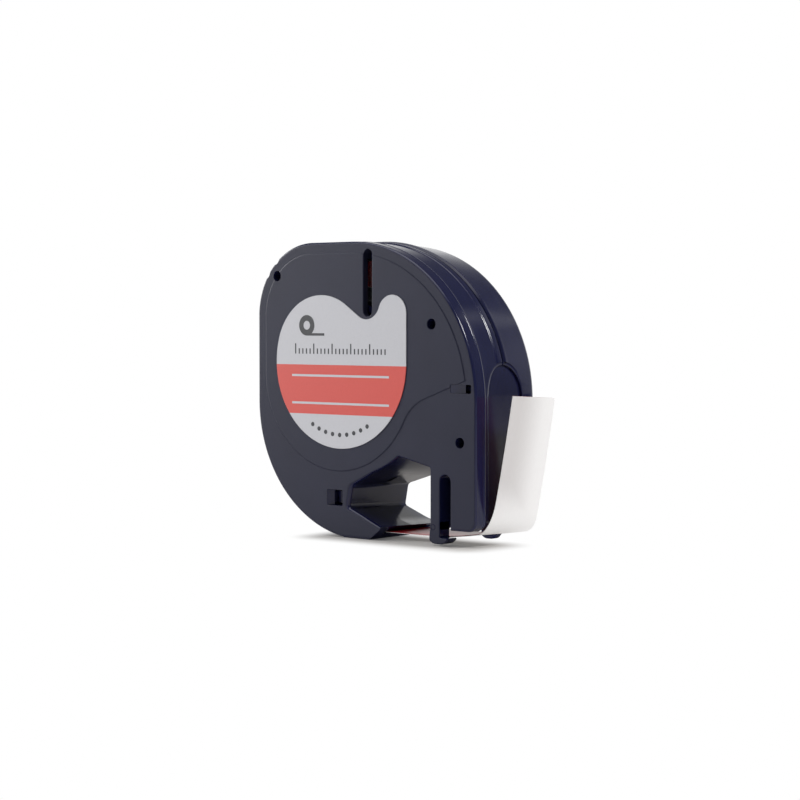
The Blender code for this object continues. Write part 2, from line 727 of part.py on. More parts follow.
STRIP_FRONT = ribbon_outline(strip_path(TAIL_FRONT, TAIL_FRONT_LEAD))
STRIP_BACK = ribbon_outline(strip_path(TAIL_BACK, TAIL_BACK_LEAD))
RIGHT_END = max(x for x, z in STRIP_FRONT + STRIP_BACK)
ROOT_X = (DRUM_REACH + BEAD_HEIGHT - RIGHT_END) / 2.0
ROOT_Y = (LABEL_GAP + LABEL_THICKNESS) / 2.0
root = bpy.data.objects.new("cassette", None)
root.empty_display_size = HALF
bpy.context.scene.collection.objects.link(root)
root.location = (ROOT_X, ROOT_Y, BOTTOM_DROP)
bpy.context.view_layer.update()
ROOT_SHIFT = root.matrix_world.translation.copy()

navy = plastic("case_plastic", (0.022, 0.024, 0.050), 0.30)
slate = plastic("face_plastic", (0.045, 0.048, 0.065), 0.55)
black = plastic("core_plastic", (0.015, 0.015, 0.017), 0.45)
red = plastic("tape_film", (0.40, 0.015, 0.018), 0.40)
liner = plastic("tape_liner", (0.75, 0.73, 0.72), 0.55)
silver = plastic("label_film", (0.53, 0.53, 0.57), 0.45)
clear = plastic("slip_film", (0.70, 0.72, 0.74), 0.25)

spool_axis = joint_axis("spool_axis", 0.0, 0.0, root)
roller_axis = joint_axis("roller_axis", ROLLER_X, ROLLER_Z, root)

TAPE_FRONT = HALF - TAPE_WIDTH / 2.0
TAPE_BACK = HALF + TAPE_WIDTH / 2.0
DISC_FRONT = TAPE_FRONT - GAP - SLIP_DISC_THICKNESS
DISC_BACK = TAPE_BACK + GAP

finish(make_front_cover(), slate, root)
finish(make_rear_shell(), navy, root)

core = ring("tape_core", CORE_RADIUS, CORE_BORE, TAPE_FRONT, TAPE_BACK)
finish(core, black, spool_axis)
roll = ring("tape_roll", ROLL_RADIUS, CORE_RADIUS + GAP, TAPE_FRONT, TAPE_BACK, 64)
finish(roll, red, spool_axis)
front_disc = ring("front_slip_disc", ROLL_RADIUS, CORE_BORE, DISC_FRONT, DISC_FRONT + SLIP_DISC_THICKNESS)
finish(front_disc, clear, spool_axis)
rear_disc = ring("rear_slip_disc", ROLL_RADIUS, CORE_BORE, DISC_BACK, DISC_BACK + SLIP_DISC_THICKNESS)
finish(rear_disc, clear, spool_axis)

roller = prism("guide_roller", circle((ROLLER_X, ROLLER_Z), ROLLER_RADIUS, 32), TAPE_FRONT, TAPE_BACK)
cut(roller, circle((ROLLER_X, ROLLER_Z), ROLLER_PIN_RADIUS + RUNNING_CLEARANCE, 32), 0.0, DEPTH)
finish(roller, black, roller_axis)

finish(prism("tape_feed", ribbon_outline(feed_path()), TAPE_FRONT, TAPE_BACK), red, root)
finish(solid("tape_strip", [(TAPE_FRONT, STRIP_FRONT), (TAPE_BACK, STRIP_BACK)]), liner, root)

label = prism("face_label", label_outline(), -LABEL_GAP - LABEL_THICKNESS, -LABEL_GAP)
finish(label, silver, root)
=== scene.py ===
"""Finished look of a label tape cassette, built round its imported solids.

The file is laid out as an add-on: property groups hold the sizes and colours that a
user would change, one operator makes each piece or group of like pieces, and main()
runs them in order. Lengths are metres. Case outlines are drawn about the roll axis,
with x to the right, z up and depth running from the labelled face to the back.
"""

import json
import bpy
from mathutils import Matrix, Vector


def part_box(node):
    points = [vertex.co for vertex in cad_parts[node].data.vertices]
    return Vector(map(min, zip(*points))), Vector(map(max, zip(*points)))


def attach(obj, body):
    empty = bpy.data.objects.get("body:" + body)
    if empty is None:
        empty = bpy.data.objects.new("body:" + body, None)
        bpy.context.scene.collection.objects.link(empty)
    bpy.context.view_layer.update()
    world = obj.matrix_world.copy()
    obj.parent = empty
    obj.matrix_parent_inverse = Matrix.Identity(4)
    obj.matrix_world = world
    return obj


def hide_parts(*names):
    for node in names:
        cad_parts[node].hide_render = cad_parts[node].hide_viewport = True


bl_info = {
    "name": "Label Tape Cassette",
    "version": (1, 0, 0),
    "blender": (4, 5, 0),
    "location": "View3D > Sidebar > Cassette",
    "description": "Builds the finished case, label, tape and stage of a label tape cassette",
    "category": "Object",
}

from contextlib import contextmanager
from math import acos, asin, atan2, ceil, copysign, cos, degrees, hypot, pi, radians, sin, sqrt

import bmesh
import bpy
from bpy.props import FloatProperty, IntProperty, PointerProperty, StringProperty
from mathutils import Matrix, Vector

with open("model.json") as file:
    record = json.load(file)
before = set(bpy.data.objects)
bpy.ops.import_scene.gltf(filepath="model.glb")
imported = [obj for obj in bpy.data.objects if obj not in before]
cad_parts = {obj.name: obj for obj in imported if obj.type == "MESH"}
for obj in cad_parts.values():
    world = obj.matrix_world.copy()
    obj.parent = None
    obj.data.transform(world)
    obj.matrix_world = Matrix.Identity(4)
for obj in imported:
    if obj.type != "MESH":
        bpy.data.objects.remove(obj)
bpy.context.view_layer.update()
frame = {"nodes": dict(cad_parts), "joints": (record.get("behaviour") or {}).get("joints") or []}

MM = 0.001

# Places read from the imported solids
AXIS = Vector(next(joint["pos_m"] for joint in frame["joints"] if joint["name"] == "spool_spin"))
COVER_LOW, COVER_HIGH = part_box("front_cover")
_, SHELL_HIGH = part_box("rear_shell")
LABEL_LOW, LABEL_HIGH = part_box("face_label")
ROLL_LOW, ROLL_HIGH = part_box("tape_roll")
CORE_LOW, CORE_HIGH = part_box("tape_core")
STRIP_LOW, STRIP_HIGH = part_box("tape_strip")
SHIFT = Vector((AXIS.x, COVER_LOW.y, AXIS.z))

# Case sizes that follow from them
DEPTH = SHELL_HIGH.y - COVER_LOW.y
MIDDLE = DEPTH / 2.0
DRUM_REACH = AXIS.x - COVER_LOW.x
RIGHT_REACH = COVER_HIGH.x - AXIS.x
BOTTOM_DROP = AXIS.z - COVER_LOW.z
ROLL_CENTRE = (0.0, 0.0)
ROLL_RADIUS = (ROLL_HIGH.x - ROLL_LOW.x) / 2.0
CORE_RADIUS = (CORE_HIGH.x - CORE_LOW.x) / 2.0
TAPE_FRONT = STRIP_LOW.y - COVER_LOW.y
TAPE_BACK = STRIP_HIGH.y - COVER_LOW.y
TAPE_THICKNESS = 0.20 * MM
TAPE_LEVEL = STRIP_LOW.z - AXIS.z + TAPE_THICKNESS / 2.0
STRIP_START = STRIP_LOW.x - AXIS.x
COVER_BACK = COVER_HIGH.y - COVER_LOW.y

# Walls and fits, as in the solids, and what cutters and joints reach past a face
GAP = 0.3 * MM
PLATE = 1.4 * MM
WALL = 1.3 * MM
LIP = 1.0 * MM
DRUM_WALL = 1.4 * MM
CHAMBER_RADIUS = ROLL_RADIUS + 0.5 * MM
DRUM_RADIUS = CHAMBER_RADIUS + DRUM_WALL
CHANNEL_HALF = 6.6 * MM
SHELL_FRONT = COVER_BACK + GAP
OVERCUT = 1.0 * MM
JOIN = 0.4 * MM
PROUD = 0.02 * MM

# Case outline
CORNER_RADIUS = 14.9 * MM
CORNER_CENTRE = (CORNER_RADIUS - DRUM_REACH, DRUM_REACH - CORNER_RADIUS)
RIGHT_ARC_RADIUS = 31.45 * MM
RIGHT_CENTRE = (RIGHT_REACH - RIGHT_ARC_RADIUS, DRUM_REACH - RIGHT_ARC_RADIUS)
LOWER_ARC_RADIUS = 27.3 * MM
LOWER_ARC_DIP = 0.2 * MM
LOWER_CENTRE = (LOWER_ARC_RADIUS - DRUM_REACH, LOWER_ARC_RADIUS - BOTTOM_DROP - LOWER_ARC_DIP)
LEG_DROP = -TAPE_LEVEL - 1.8 * MM
LEG_CORNER_RADIUS = 2.0 * MM
STANDING_RIGHT = 6.1 * MM
STANDING_FLAT = 7.0 * MM
STANDING_HEIGHT = 0.7 * MM
PANEL_CENTRE = (-2.13 * MM, -2.23 * MM)
PANEL_BLEND_RADIUS = 10.0 * MM
PANEL_BLEND_START = 332.0
PANEL_BLEND_END = 114.0
PANEL_RIGHT_START = 8.0

# Rim sections, as depths and steps
BAND_DEPTH = 3.2 * MM
BAND_STEP = 0.2 * MM
BAND_RUN = 0.3 * MM
RIDGE_WIDTH = 0.5 * MM
WAIST_END = 8.3 * MM
WAIST_RUN = (0.3 * MM, 0.2 * MM)
PARTING_ROUND = ((-0.3 * MM, 0.0), (-0.1 * MM, -0.06 * MM), (0.0, -0.2 * MM))
TONGUE_SINK = 0.6 * MM
BEAD_WIDTH = 1.15 * MM
BEAD_HEIGHT = 0.25 * MM
BEAD_RISE = (0.05 * MM, 0.3 * MM)
BEAD_FALL = 0.4 * MM
REAR_DRAFT = 0.5 * MM
# Drum panel edge, as shares of its relief and of its slope
PANEL_EDGE = ((0.0, -0.8), (0.06, -0.65), (0.22, -0.5), (0.5, -0.3), (0.78, -0.1), (0.94, 0.05), (1.1, 0.16))

# Print-head opening; its moves are those of side, wall, floor, mouth and roof
OPENING_LEFT = -0.3 * MM
OPENING_LEAN = 0.9 * MM
OPENING_RIGHT = RIGHT_REACH - 11.05 * MM
OPENING_WALL_LOW = -29.5 * MM
OPENING_WALL_HIGH = -24.6 * MM
OPENING_RIGHT_TOP = -19.9 * MM
OPENING_BEVEL = tuple(v * MM for v in (1.0, 0.4, 0.0, 0.4, -0.4))
OPENING_BEVEL_DEPTH = 0.7 * MM
OPENING_BACK = tuple(v * MM for v in (-0.4, -0.6, -0.5, -0.1, -1.9))
OPENING_REAR_EDGE = (0.2 * MM, 0.15 * MM)
OPENING_ROUNDS = (2.0 * MM, 0.12 * MM, 0.4 * MM)
OPENING_ROOF_SPAN = (-52.5, -72.0)

# Mouth, leg slot, feet and the relief beside the tape
MOUTH_X = 9.2 * MM
MOUTH_RISE = 0.9 * MM
MOUTH_BEVEL = 4.35 * MM
CHANNEL_RISE = 6.2 * MM
CHANNEL_ROOM = 0.5 * MM
CHANNEL_START = 176.0
CHANNEL_DRUM_ANGLES = (233.0, 195.0)
POCKET_DRUM_SPAN = (44.0, -32.0)
POCKET_RIGHT_SPAN = (3.0, 56.0)
LEG_SLOT_LEFT = OPENING_RIGHT + 2.2 * MM
LEG_SLOT_WIDTH = 2.7 * MM
LEG_SLOT_TOP = -21.4 * MM
FOOT_DEPTH = 3.3 * MM
FOOT_CORNER = 0.6 * MM
FOOT_STEP = 0.4 * MM
FOOT_ROUND = 0.5 * MM
FOOT_TOP = 2.0 * MM - LEG_DROP
TOE_SLOPE = 1.0 * MM
FOOT_SOLE = 0.4 * MM - BOTTOM_DROP
REAR_SOLE = 0.05 * MM - BOTTOM_DROP
TOE_LEVEL = TAPE_LEVEL + 0.2 * MM
TOE_REACH = 1.8 * MM
REAR_TOE_REACH = 1.3 * MM
EJECTOR_MARK = (OPENING_RIGHT + 0.6 * MM, 0.45 * MM - LEG_DROP)
EJECTOR_RADII = (0.62 * MM, 0.46 * MM)
EJECTOR_DEPTH = 0.06 * MM
EXIT_RECESS_DEPTH = 0.8 * MM
EXIT_RECESS_HALF = 5.4 * MM
EXIT_RECESS_RISE = 6.2 * MM
EXIT_RECESS_SPRING = -6.4 * MM
EXIT_LIP = (0.15 * MM, 0.6 * MM)
EXIT_LIP_CURVE = ((1.0, 0.0), (0.35, 0.45), (0.05, 0.85), (0.0, 1.0))
EXIT_CHAMFER = 2.0 * MM
BACKING_SINK = 0.03 * MM
BACKING_THICKNESS = 0.7 * MM
BACKING_ROOM = 0.2 * MM
BACKING_STEPS = 12

# Window slot, pins, hooks, hub, roller pin and grip notches
WINDOW_X = 6.0 * MM
WINDOW_WIDTH = 2.2 * MM
WINDOW_LOW = 9.2 * MM
WINDOW_HIGH = 22.6 * MM
PIN_RADIUS = 0.75 * MM
PIN_TIP = 0.2 * MM
PIN_HOLE_RADIUS = 1.05 * MM
PIN_BOSS_RADIUS = 2.35 * MM
PIN_RECESS = 2.2 * MM
PIN_SHOULDER_ANGLE = 138.7
PIN_DRUM_ANGLE = 19.1
PIN_LEG = (RIGHT_REACH - 3.87 * MM, -15.1 * MM)
# Each hook window, as the x and z of its middle, width and height
HOOK_WINDOWS = (
    (RIGHT_REACH - 3.65 * MM, -4.75 * MM, 5.0 * MM, 1.7 * MM),
    (OPENING_LEFT - 2.55 * MM, OPENING_WALL_LOW + 2.1 * MM, 4.2 * MM, 3.2 * MM),
)
HOOK_CORNER = 0.3 * MM
HOOK_ROOM = 0.4 * MM
HOOK_RECESS = 2.2 * MM
HOOK_NOSES = (2.9 * MM, 1.1 * MM)
HOOK_NOSE = 1.0 * MM
HOOK_NOSE_GAP = 0.012 * MM
HOOK_NOSE_SINK = 0.06 * MM
HOOK_WEB = (0.15 * MM, 0.29 * MM)
HOOK_LEDGE = 1.8 * MM
HOOK_FRAME = 0.5 * MM
HOOK_FRAME_DEPTH = 3.0 * MM
HUB_RADIUS = CORE_RADIUS - 2.7 * MM
HUB_WALL = 1.2 * MM
ROLLER_PLACE = (15.1 * MM - DRUM_REACH, TAPE_LEVEL + 6.3 * MM)
ROLLER_PIN_RADIUS = 1.0 * MM
ROLLER_BESIDE = 3.0 * MM
NOTCH_RADIUS = 1.1 * MM
NOTCH_DEPTH = 0.52 * MM
NOTCH_FIRST_ANGLE = 130.9
NOTCH_PITCH_ANGLE = 14.1

# Faces that take the grain: how far they look forward and how far under the face they lie
GRAIN_NORMAL = -0.55
GRAIN_SINK = 0.05 * MM

# Face label and its print
LABEL_RADIUS = 17.37 * MM
LABEL_CENTRE = (-1.29 * MM, -0.06 * MM)
LABEL_EDGE = 0.04 * MM
LABEL_LOBE_RADIUS = 12.15 * MM
LABEL_LOBE_ANGLE = 164.4
LABEL_EAR_RADIUS = 3.6 * MM
LABEL_EAR_RISE = 9.9 * MM
LABEL_NOTCH_RADIUS = 3.5 * MM
LABEL_WINDOW_ROOM = 0.6 * MM
PRINT_THICKNESS = 0.02 * MM
TICK_WIDTH = 0.32 * MM
TICK_HEIGHTS = (1.1 * MM, 2.1 * MM)
SCALE_LEVEL = 1.6 * MM
DOT_RADIUS = 0.45 * MM
DOT_ARC_RADIUS = 14.6 * MM
DOT_ARC = (240.0, 60.0)
RULE_SIZE = (26.0 * MM, 0.45 * MM)
RULE_INSET = 2.2 * MM
SIGN_CENTRE = (-10.2 * MM, 7.4 * MM)
SIGN_RADII = (2.1 * MM, 0.9 * MM)
SIGN_TAIL = (4.8 * MM, 0.5 * MM)

# Free tape: radius and turn of each bend, for the front edge and for the back edge
TAIL_FRONT = ((70.0 * MM, 9.3), (3.9 * MM, 40.7), (10.0 * MM, 18.0), (17.0 * MM, 10.0), (500.0 * MM, 2.36))
TAIL_FRONT_LEAD = 14.2 * MM
TAIL_BACK = ((70.0 * MM, 9.3), (3.0 * MM, 50.7), (6.0 * MM, 12.0), (6.0 * MM, 6.0), (403.0 * MM, 3.35))
TAIL_BACK_LEAD = 11.3 * MM
TAIL_STEPS = (12, 20, 8, 5, 14)
TAIL_LEAD_STEPS = 12
TAPE_ACROSS = 6
LAYER_GAP = 0.01 * MM
FILM_INSET = 0.2 * MM
FILM_ROUGHNESS = 0.30

# Camera of the photograph: 800 pixels square, 2000 pixels of focal length, 5.1 pixels per millimetre
PHOTO_PIXELS = 800.0
FOCAL_PIXELS = 2000.0
PIXELS_PER_METRE = 5098.0
SENSOR_MM = 36.0
VIEW_AZIMUTH = 39.87
VIEW_ELEVATION = 2.33
VIEW_TARGET = SHIFT + Vector((14.495 * MM, -0.088 * MM, -7.2 * MM))

# Stage: floor and the footprint where it keeps the shadow, angles over which the backdrop fades in,
# and lamps as place from the part, size and power
FLOOR_RADIUS = 0.6
FLOOR_SINK = 0.02 * MM
SHADOW_SHIFT = (-5.5 * MM, 6.0 * MM, 0.0)
SHADOW_HALF = (17.2 * MM, 4.0 * MM, 0.0)
SHADOW_FADE = 9.0 * MM
BACKDROP_HEIGHT = (33.0, 12.0)
BACKDROP_WIDTH = (82.0, 35.0)
LAMP_TARGET = Vector((0.0, 0.0, 30.0 * MM))
LAMPS = (
    ("top_softbox", (-0.10, -0.20, 0.75), (0.9, 0.9), "top_power"),
    ("left_softbox", (-0.68, -0.30, 0.20), (0.4, 0.4), "left_power"),
    ("right_strip", (0.525, 0.13, 0.495), (0.20, 0.15), "strip_power"),
    ("front_fill", (-0.08, -0.70, 0.08), (0.36, 0.36), "fill_power"),
    ("rear_card", (0.18, 0.57, 0.36), (0.135, 0.11), "card_power"),
)

# Steps of arcs, rounds and circles, lengths that meshes are cleaned by, angles that shading keeps sharp
ARC_STEP = radians(2.5)
SLOT_STEP = radians(9.0)
LABEL_STEP = radians(5.0)
LEG_CORNER_STEP = radians(10.0)
WIDE_SIDES = 96
SIGN_SIDES = 48
HOLE_SIDES = 32
PIN_SIDES = 24
MERGE_DISTANCE = 0.002 * MM
SLIVER_LENGTH = 0.001 * MM
ROUND_STEPS = 4
SHARP_ANGLE = radians(32.0)
TAPE_SHARP_ANGLE = radians(50.0)


class CaseSettings(bpy.types.PropertyGroup):
    """Finish sizes and colours of the two case halves."""

    rim_round: FloatProperty(
        name="Rim round", description="Radius along the front rim", default=0.5 * MM, unit="LENGTH")
    panel_relief: FloatProperty(
        name="Panel relief", description="Height of the drum panel above the face",
        default=0.12 * MM, unit="LENGTH")
    panel_slope: FloatProperty(
        name="Panel slope", description="Width of the soft edge of the drum panel",
        default=0.3 * MM, unit="LENGTH")
    ridge_height: FloatProperty(
        name="Ridge height", description="Height of the fine ridge on the front band",
        default=0.06 * MM, unit="LENGTH")
    panel_rim: FloatProperty(
        name="Panel rim", description="Width of the rim round the drum panel",
        default=2.2 * MM, unit="LENGTH")
    hole_round: FloatProperty(
        name="Hole round", description="Radius on the edges of slots and holes",
        default=0.2 * MM, unit="LENGTH")
    corner_round: FloatProperty(
        name="Corner round", description="Radius in the corners of the opening",
        default=0.7 * MM, unit="LENGTH")
    rear_round: FloatProperty(
        name="Rear round", description="Radius along the back edge", default=1.2 * MM, unit="LENGTH")
    notch_count: IntProperty(
        name="Grip notches", description="Notches on the shoulder", default=2, min=0)
    face_colour: StringProperty(
        name="Face colour", description="Textured front face, sRGB hex", default="1D1F33")
    side_colour: StringProperty(
        name="Side colour", description="Polished sides and back, sRGB hex", default="181B3C")


class LabelSettings(bpy.types.PropertyGroup):
    """Print of the face label."""

    paper_colour: StringProperty(
        name="Label colour", description="Unprinted film, sRGB hex", default="BABABF")
    band_colour: StringProperty(
        name="Band colour", description="Printed band, sRGB hex", default="CA534C")
    ink_colour: StringProperty(
        name="Ink colour", description="Dark print, sRGB hex", default="3A3B3F")
    band_top: FloatProperty(
        name="Band top", description="Upper edge of the band, above the roll axis",
        default=-0.6 * MM, unit="LENGTH")
    band_bottom: FloatProperty(
        name="Band bottom", description="Lower edge of the band, above the roll axis",
        default=-10.6 * MM, unit="LENGTH")
    tick_count: IntProperty(
        name="Ticks", description="Marks on the printed scale", default=25, min=2)
    tick_pitch: FloatProperty(
        name="Tick pitch", description="Distance between marks", default=1.0 * MM, unit="LENGTH")
    dot_count: IntProperty(
        name="Dots", description="Dots along the lower edge", default=9, min=2)


class TapeSettings(bpy.types.PropertyGroup):
    """Free strip, wound roll and what they turn on."""

    liner_colour: StringProperty(
        name="Liner colour", description="Release liner, sRGB hex", default="FFFDFC")
    # Painted shade: the greyer colour that the liner is drawn in near its front edge and higher up
    liner_painted_shade: StringProperty(
        name="Liner shade", description="Release liner over the dark case, sRGB hex", default="DDD9D8")
    film_colour: StringProperty(
        name="Film colour", description="Label film, sRGB hex", default="B3171E")
    core_colour: StringProperty(
        name="Core colour", description="Core and roller, sRGB hex", default="17171A")
    slip_colour: StringProperty(
        name="Slip disc colour", description="Clear discs, sRGB hex", default="E4E8EA")
    turns: IntProperty(
        name="Turns", description="Turns of tape drawn on the roll", default=22, min=4)


class StageSettings(bpy.types.PropertyGroup):
    """Floor, backdrop and lamps."""

    floor_colour: StringProperty(
        name="Floor colour", description="Studio floor, sRGB hex", default="BAB7B4")
    backdrop: FloatProperty(
        name="Backdrop", description="Brightness of the backdrop behind the part", default=1.0)
    room: FloatProperty(
        name="Room", description="Brightness of the studio round it", default=0.10)
    top_power: FloatProperty(
        name="Top lamp", description="Softbox overhead", default=4.4, unit="POWER")
    left_power: FloatProperty(
        name="Left lamp", description="Softbox at the front left", default=4.9, unit="POWER")
    strip_power: FloatProperty(
        name="Strip lamp", description="Strip light on the right", default=2.9, unit="POWER")
    fill_power: FloatProperty(
        name="Fill lamp", description="Soft fill from the front", default=0.4, unit="POWER")
    card_power: FloatProperty(
        name="Card", description="Weak card behind on the right", default=0.02, unit="POWER")


# Drawing helpers

def linear(code, factor=1.0):
    """Linear RGBA from an sRGB hex code, made darker or lighter by a factor."""
    values = [int(code[i:i + 2], 16) / 255.0 for i in (0, 2, 4)]
    lin = [v / 12.92 if v <= 0.04045 else ((v + 0.055) / 1.055) ** 2.4 for v in values]
    return (*[factor * v for v in lin], 1.0)


def polar(centre, radius, angle):
    """Point at a distance and an angle in degrees from a centre."""
    turn = radians(angle)
    return (centre[0] + radius * cos(turn), centre[1] + radius * sin(turn))


def arc(centre, radius, start, end, step=ARC_STEP):
    """Points along an arc from start to end, both in degrees."""
    count = max(2, ceil(abs(radians(end - start)) / step))
    return [polar(centre, radius, start + (end - start) * i / count) for i in range(count + 1)]


def circle(centre, radius, count):
    """Closed ring of points, anticlockwise from the front."""
    return [polar(centre, radius, 360.0 * i / count) for i in range(count)]


def rectangle(x, z, width, height):
    """Rectangle centred on a point."""
    w, h = width / 2.0, height / 2.0
    return [(x - w, z - h), (x + w, z - h), (x + w, z + h), (x - w, z + h)]


def offset(points, distance):
    """Move every side of an anticlockwise outline outwards by the distance."""
    result = []
    for i, here in enumerate(points):
        here = Vector(here)
        d0 = (here - Vector(points[i - 1])).normalized()
        d1 = (Vector(points[(i + 1) % len(points)]) - here).normalized()
        n0, n1 = Vector((d0.y, -d0.x)), Vector((d1.y, -d1.x))
        moved = here + distance * (n0 + n1) / (1.0 + n0.dot(n1))
        result.append((moved.x, moved.y))
    return result


def soften(points, radius, steps=5):
    """Round the corners of an outline, by one radius or by one for each point."""
    radii = radius if isinstance(radius, list) else [radius] * len(points)
    result = []
    for i, here in enumerate(points):
        here = Vector(here)
        before = Vector(points[i - 1]) - here
        after = Vector(points[(i + 1) % len(points)]) - here
        reach = min(radii[i], 0.45 * before.length, 0.45 * after.length)
        start = here + reach * before.normalized()
        end = here + reach * after.normalized()
        for k in range(steps + 1):
            t = k / steps
            point = (1 - t) ** 2 * start + 2 * t * (1 - t) * here + t * t * end
            result.append((point.x, point.y))
    return result


def rounded_edge(depth, radius, into, out=1):
    """(depth, offset) steps of a rounded edge, from the face on; into and out are +1 or -1."""
    turns = [pi / 2.0 * i / ROUND_STEPS for i in range(ROUND_STEPS + 1)]
    return [(depth + into * radius * (1 - cos(t)), out * radius * (1 - sin(t))) for t in turns]


def ramp(start, end, low, high, steps=4):
    """(depth, offset) steps of a smooth step from one offset to another."""
    shares = [i / steps for i in range(steps + 1)]
    return [(start + (end - start) * t, low + (high - low) * (3 - 2 * t) * t * t) for t in shares]


def crest(middle, width, height):
    """(depth, offset) steps of a small rounded ridge."""
    turns = [pi * i / 8.0 for i in range(9)]
    return [(middle - 0.5 * width * cos(t), height * sin(t) ** 2) for t in turns]


# Mesh helpers

def new_object(name):
    """Object with an empty mesh, linked to the scene."""
    item = bpy.data.objects.new(name, bpy.data.meshes.new(name))
    bpy.context.scene.collection.objects.link(item)
    return item


@contextmanager
def editing(item):
    """Bmesh of an object's mesh, written back at the end."""
    body = bmesh.new()
    body.from_mesh(item.data)
    yield body
    body.to_mesh(item.data)
    body.free()


def loft(name, sections):
    """Closed body through sections of (depth, outline), front to back, about the roll axis."""
    item = new_object(name)
    with editing(item) as body:
        rings = [[body.verts.new((x, depth, z)) for x, z in outline] for depth, outline in sections]
        body.faces.new(rings[0])
        body.faces.new(rings[-1][::-1])
        for near, far in zip(rings, rings[1:]):
            for i in range(len(near)):
                j = (i + 1) % len(near)
                body.faces.new((near[j], near[i], far[i], far[j]))
        bmesh.ops.recalc_face_normals(body, faces=body.faces)
    return item


def profile_loft(name, outline, profile):
    """Body of one outline offset along a profile of (depth, offset)."""
    return loft(name, [(depth, offset(outline, out)) for depth, out in profile])


def prism(name, outline, start, end):
    """Straight body of one outline between two depths."""
    return loft(name, [(start, outline), (end, outline)])


def rounded_bar(name, outline, start, end, radius):
    """Straight body of one outline with both its edges rounded."""
    profile = rounded_edge(start, radius, 1, -1) + rounded_edge(end, radius, -1, -1)[::-1]
    return profile_loft(name, outline, profile)


def front_tool(outline, face, radius, end):
    """Cutter with a rounded edge where it enters the front face."""
    profile = [(face - OVERCUT, radius)] + rounded_edge(face, radius, 1) + [(end, 0.0)]
    return profile_loft("tool", outline, profile)


def through_tool(outline, face, back, radius):
    """Cutter with rounded edges at the front face and at the back face."""
    profile = [(face - OVERCUT, radius)] + rounded_edge(face, radius, 1)
    profile += rounded_edge(back, radius, -1)[::-1] + [(back + OVERCUT, radius)]
    return profile_loft("tool", outline, profile)


def combine(item, operation, tools):
    """Join bodies that stay clear of each other to the piece, or cut them out of it, and drop them."""
    joined = new_object("tools")
    with editing(joined) as body:
        for tool in tools:
            body.from_mesh(tool.data)
            bpy.data.objects.remove(tool)
    step = item.modifiers.new("combine", "BOOLEAN")
    step.operation = operation
    step.solver = "EXACT"
    step.object = joined
    bake(item)
    bpy.data.objects.remove(joined)


def cut(item, *tools):
    """Cut bodies out of the piece."""
    combine(item, "DIFFERENCE", tools)


def add(item, *tools):
    """Add bodies to the piece."""
    combine(item, "UNION", tools)


def bake(item):
    """Turn the evaluated result into the object's plain mesh."""
    graph = bpy.context.evaluated_depsgraph_get()
    mesh = bpy.data.meshes.new_from_object(item.evaluated_get(graph))
    item.modifiers.clear()
    old, item.data = item.data, mesh
    bpy.data.meshes.remove(old)


def smooth(item, angle=SHARP_ANGLE):
    """Smooth shading with flat faces kept flat beside their rounded edges."""
    with editing(item) as body:
        bmesh.ops.remove_doubles(body, verts=body.verts, dist=MERGE_DISTANCE)
        bmesh.ops.dissolve_degenerate(body, edges=body.edges, dist=SLIVER_LENGTH)
    for polygon in item.data.polygons:
        polygon.use_smooth = abs(polygon.normal.y) < 0.9999
    item.data.set_sharp_from_angle(angle=angle)
    weigh = item.modifiers.new("weigh", "WEIGHTED_NORMAL")
    weigh.weight = 100
    weigh.keep_sharp = True
    bake(item)


def hand_over(item, name, body, slot, *nodes):
    """Name a piece, carry it to the frame, hang it on what carries it, and hide the parts that it replaces;
    the finish slot is not used.
    """
    item.data.transform(Matrix.Translation(SHIFT))
    item.name = item.data.name = name
    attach(item, body)
    if nodes:
        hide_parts(*nodes)


# Case outlines

def right_drop(level):
    """How far the right side has curved in at a level."""
    over = min(max(0.0, level - RIGHT_CENTRE[1]), RIGHT_ARC_RADIUS)
    return RIGHT_ARC_RADIUS - sqrt(RIGHT_ARC_RADIUS ** 2 - over ** 2)


def lower_arc(radius, start, level):
    """Arc about the centre of the lower left side, from an angle down to a level."""
    return arc(LOWER_CENTRE, radius, start, 180.0 + degrees(asin((LOWER_CENTRE[1] - level) / radius)))


def case_outline():
    """Outer outline of the case seen from the front, anticlockwise."""
    leg = (RIGHT_REACH - LEG_CORNER_RADIUS, LEG_CORNER_RADIUS - LEG_DROP)
    points = lower_arc(LOWER_ARC_RADIUS, 180.0, -BOTTOM_DROP)
    points += [(MOUTH_X, -BOTTOM_DROP), (OPENING_RIGHT - OVERCUT, -LEG_DROP)]
    points += arc(leg, LEG_CORNER_RADIUS, 270.0, 360.0, LEG_CORNER_STEP)
    points += arc(RIGHT_CENTRE, RIGHT_ARC_RADIUS, 0.0, 90.0)
    return points + arc(CORNER_CENTRE, CORNER_RADIUS, 90.0, 180.0)[:-1]


def panel_outline(rim):
    """Raised drum panel: round below, following the rim above, blended at the lower right."""
    radius = DRUM_REACH - rim + PANEL_CENTRE[0]
    blend = polar(PANEL_CENTRE, radius + PANEL_BLEND_RADIUS, PANEL_BLEND_START)
    points = arc(PANEL_CENTRE, radius, 180.0, PANEL_BLEND_START)
    points += arc(blend, PANEL_BLEND_RADIUS, PANEL_BLEND_START - 180.0, PANEL_BLEND_END)[1:]
    points += arc(RIGHT_CENTRE, RIGHT_ARC_RADIUS - rim, PANEL_RIGHT_START, 90.0)
    return points + arc(CORNER_CENTRE, CORNER_RADIUS - rim, 90.0, 180.0)[:-1]


